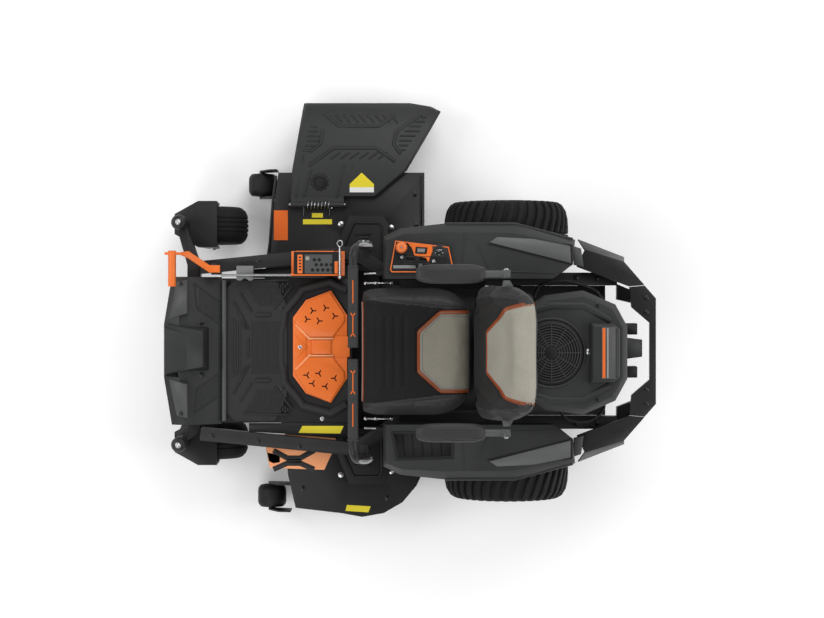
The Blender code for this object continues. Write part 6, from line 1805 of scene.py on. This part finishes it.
# %% Levers and lap bars
for side_name, side in SIDES.items():
    low, high = place(f"lap_grip_{side_name}")
    grip_y, grip_z = (low.y + high.y) / 2, (low.z + high.z) / 2
    grip_top, outer_x = grip_z + 0.0190, high.x if side > 0 else -low.x
    sleeve = turned([(0.0168, 0.021), (0.0182, 0.021), (0.0190, 0.024), (0.0190, outer_x - 0.003), (0.0182, outer_x), (0.0168, outer_x)],
                    (0, grip_y, grip_z), (side, 0, 0), 40)
    piece(f"lap_grip_{side_name}_sleeve", sleeve, "grip", f"lap_bar_{side_name}", "rubber", bevel=0, smooth=50,
          replaces=[f"lap_grip_{side_name}"])
    tube = smooth_route([(0.404, -0.186, 0.538), (0.402, -0.186, 0.640), (0.398, -0.194, 0.760), (0.389, -0.206, 0.815),
                         (0.366, -0.214, 0.841), (0.330, grip_y, grip_z), (0.200, grip_y, grip_z), (0.023, grip_y, grip_z)], 8)
    piece(f"lap_bar_{side_name}_tube", bar([(side * x, y, z) for x, y, z in tube], 0.0160, 24), "frame_coat",
          f"lap_bar_{side_name}", "painted_steel", bevel=0, smooth=60)
    on_grip = flat_at(grip_top - 0.0004)
    marks = [
        [(side * 0.184, grip_y), (side * 0.268, grip_y)],
        [(side * 0.074, grip_y), (side * 0.136, grip_y)],
    ]
    for end, out in ((0.074, -1), (0.136, 1)):
        for dy in (-0.008, 0.008):
            marks.append([(side * end, grip_y), (side * (end + out * 0.012), grip_y + dy)])
    shapes = [ridge(line, 0.0042, 0.0014, on_grip, top=0.8, sink=0.001 if k < 2 else 0.004) for k, line in enumerate(marks)]
    piece(f"lap_grip_{side_name}_marks", joined(*shapes), "orange_film", f"lap_bar_{side_name}", "rubber", bevel=0)
    cap = turned([(0, 0.0165), (0.010, 0.0155), (0.020, 0.0115), (0.028, 0.0055), (0.0325, -0.001), (0, -0.001)],
                 (side * 0.3940, -0.1760, 0.800), (side, 0, 0), 40)
    piece(f"lap_bar_{side_name}_end_cap", cap, "zinc_satin", f"lap_bar_{side_name}", "bare_metal", bevel=0, smooth=60)
    cuffs = [turned([(0.0165, -0.004), (0.0197, -0.004), (0.0197, 0.004), (0.0165, 0.004)], (side * x, grip_y, grip_z), (1, 0, 0), 32)
             for x in (0.026, 0.166, 0.318)]
    piece(f"lap_grip_{side_name}_cuffs", joined(*cuffs), "charcoal_abs", f"lap_bar_{side_name}", "rubber", bevel=0.0008)
    cover = turned([(0, 0.0235), (0.011, 0.0225), (0.021, 0.0180), (0.029, 0.0100), (0.0335, 0.0), (0.0300, 0.0), (0, 0.002)],
                   (side * 0.411, -0.186, 0.460), (side, 0, 0), 40)
    piece(f"lever_{side_name}_hub_cover", cover, "zinc_satin", f"lever_{side_name}", "bare_metal", bevel=0, smooth=60)
    bolts(f"lever_{side_name}_bolts", [((side * 0.4225, -0.186, 0.500), (side, 0, 0))],
          f"lever_{side_name}", size=0.008)
    bolts(f"lap_bar_{side_name}_bolt", [((side * 0.404, -0.214, 0.530), (0, -1, 0))], f"lever_{side_name}", size=0.0065)
    link = bar([(side * 0.262, -0.180, 0.470), (side * 0.262, -0.080, 0.470)], 0.0045, 12)
    joints = [turned([(0, -0.0085), (0.006, -0.006), (0.0085, 0), (0.006, 0.006), (0, 0.0085)], (side * 0.262, y, 0.470), (0, 0, 1), 16)
              for y in (-0.180, -0.140, -0.080)]
    damper = bar([(side * 0.300, -0.186, 0.455), (side * 0.300, -0.140, 0.455)], 0.005, 12)
    body_tube = bar([(side * 0.300, -0.140, 0.455), (side * 0.300, -0.020, 0.455)], 0.011, 16)
    piece(f"pump_link_{side_name}", joined(link, *joints, damper), "zinc", *BARE_PART, bevel=0, smooth=60)
    piece(f"lever_damper_{side_name}", body_tube, "black_abs", *STEEL_PART, bevel=0.001)
print("levers:", list(SIDES))

# %% Lift pedal and height selector
from_solid("lift_pedal", "orange_coat", 0.0025, segments=3)
from_solid("height_selector", "orange_coat", 0.0015)
selector_high = place("height_selector")[1]
on_selector = flat_at(selector_high.z)
HOLES = [(-0.353, -0.378), (-0.353, -0.359), *[(-0.334, y) for y in (-0.371, -0.351, -0.332, -0.312)],
         *[(-0.314, y) for y in (-0.385, -0.365, -0.3455, -0.326, -0.307)]]
plate_plan = [(-0.374, -0.416), (-0.300, -0.416), (-0.300, -0.309), (-0.374, -0.309)]
backing = patch(
    [(-0.3845, -0.4585), (-0.2975, -0.4585), (-0.2975, -0.2830), (-0.3845, -0.2830)], on_selector,
    0.0006,
)
piece("height_selector_backing", backing, "black_abs", *STEEL_PART, bevel=0)
plate = piece(
    "height_selector_plate",
    patch(plate_plan, lambda x, y: selector_high.z + 0.0008, 0.002, sink=0), "grey_abs",
    *STEEL_PART, bevel=0.0006,
)
cut_away(plate, [cylinder((x, y, selector_high.z), (0, 0, 1), 0.0070, 0.02, 20) for x, y in HOLES])
plate.data.set_sharp_from_angle(angle=math.radians(30))
rear_tab = [(-0.348, -0.300), (-0.300, -0.300), (-0.300, -0.286), (-0.348, -0.286)]
piece(
    "height_selector_rear_tab", patch(rear_tab, on_selector, 0.0022, inset=0.001), "orange_coat",
    *ORANGE_PART, bevel=0.0004,
)
tab = [(-0.374, -0.444), (-0.300, -0.444), (-0.300, -0.424), (-0.374, -0.424)]
piece(
    "height_selector_tab", patch(tab, on_selector, 0.0022, inset=0.001), "orange_coat",
    *ORANGE_PART, bevel=0.0004,
)
tab_marks = [
    ridge([(-0.366 + k * 0.012, -0.434), (-0.360 + k * 0.012, -0.434)], 0.010, 0.0028, on_selector, top=0.9)
    for k in range(5)
]
piece("height_selector_tab_marks", joined(*tab_marks), "charcoal_abs", *STEEL_PART, bevel=0)
tag = [(-0.366, -0.412), (-0.352, -0.412), (-0.352, -0.398), (-0.366, -0.398)]
piece(
    "height_selector_tag", patch(tag, lambda x, y: selector_high.z + 0.0026, 0.0008, sink=0),
    "stone_vinyl", *STEEL_PART, bevel=0,
)
pin_y, pin_z = -0.279, selector_high.z + 0.010
pin_bar = bar([(-0.404, pin_y, pin_z), (-0.286, pin_y, pin_z)], 0.0045, 12)
ball = turned(
    [(0, -0.009), (0.006, -0.0065), (0.009, 0), (0.006, 0.0065), (0, 0.009)],
    (-0.286, pin_y, pin_z), (1, 0, 0), 16,
)
loop_route = [
    (-0.404 - 0.012 + 0.012 * math.cos(t * math.pi / 8), pin_y + 0.010 * math.sin(t * math.pi / 8), pin_z)
    for t in range(17)
]
piece("height_pin", joined(pin_bar, ball), "zinc", *BARE_PART, bevel=0, smooth=60)
piece("height_pin_loop", bar(loop_route, 0.0022, 8), "zinc", *BARE_PART, bevel=0, smooth=60)
rod = bar([(-0.294, -0.742, 0.462), (-0.294, -0.600, 0.464), (-0.294, -0.467, 0.466)], 0.0048, 12)
piece("lift_rod", rod, "zinc_satin", *BARE_PART, bevel=0, smooth=60)
saddle = [
    (-0.331, -0.683), (-0.276, -0.683), (-0.272, -0.668), (-0.284, -0.650), (-0.272, -0.632),
    (-0.276, -0.617), (-0.331, -0.617),
]
piece("lift_rod_saddle", prism(saddle, 0.432, 0.455), "saddle_abs", *STEEL_PART, bevel=0.003, segments=3)
from_step = level_on("side_step")
step_low, step_high = place("side_step")
cross = [
    [(0.394, -0.545), (0.424, -0.490), (0.424, -0.440), (0.394, -0.385)],
    [(0.468, -0.545), (0.444, -0.490), (0.444, -0.440), (0.468, -0.385)],
]
cross += [[(0.434, -0.492), (0.434, -0.438)]]
print("side step:", [round(v, 3) for v in (*step_low, *step_high)])
pads = [ridge(line, 0.022, 0.004, from_step, top=0.75, sink=0.0008) for line in cross]
piece("side_step_grip", joined(*pads), "mat", *RUBBER_PART, bevel=0.0008)
print("selector holes:", len(HOLES))

# %% Frame fasteners
on_right, on_left = level_on("frame_rail_right"), level_on("frame_rail_left")
spots = []
for side, level in ((-1, on_right), (1, on_left)):
    for x, y in ((0.332, -0.780), (0.352, -0.600), (0.372, -0.440), (0.285, 0.640), (0.282, 0.720)):
        z = level(side * x, y)
        if z < 0.44:
            spots.append((side * x, y, z))
bolts("rail_bolts", spots, "chassis", finish="dark_zinc", size=0.0075)
bolts("floor_bolts", [(0.2675, -0.352, 0.3905), (0.240, -0.300, 0.3905)], "chassis", size=0.006)
guard_bolts = [
    (side * x, 0.905, place("rear_guard_centre")[1].z) for side in (-1, 1) for x in (0.150, 0.205)
]
bolts("rear_guard_bolts", guard_bolts, "chassis", finish="dark_zinc", size=0.0075)
for side_name, side in SIDES.items():
    sheet = [
        (side * 0.2845, -0.640), (side * 0.318, -0.640), (side * 0.332, -0.420),
        (side * 0.345, -0.240), (side * 0.2845, -0.240),
    ]
    piece(f"floor_side_plate_{side_name}", prism(sheet, 0.384, 0.388), "deck_coat", *STEEL_PART, bevel=0.0008)
label = [(0.296, -0.430), (0.296, -0.268), (0.326, -0.282), (0.323, -0.445)]
piece(
    "side_plate_label", patch(label, flat_at(0.388), 0.0008, sink=0.0004), "yellow_film",
    *STEEL_PART, bevel=0,
)
print("rail bolts:", len(spots))
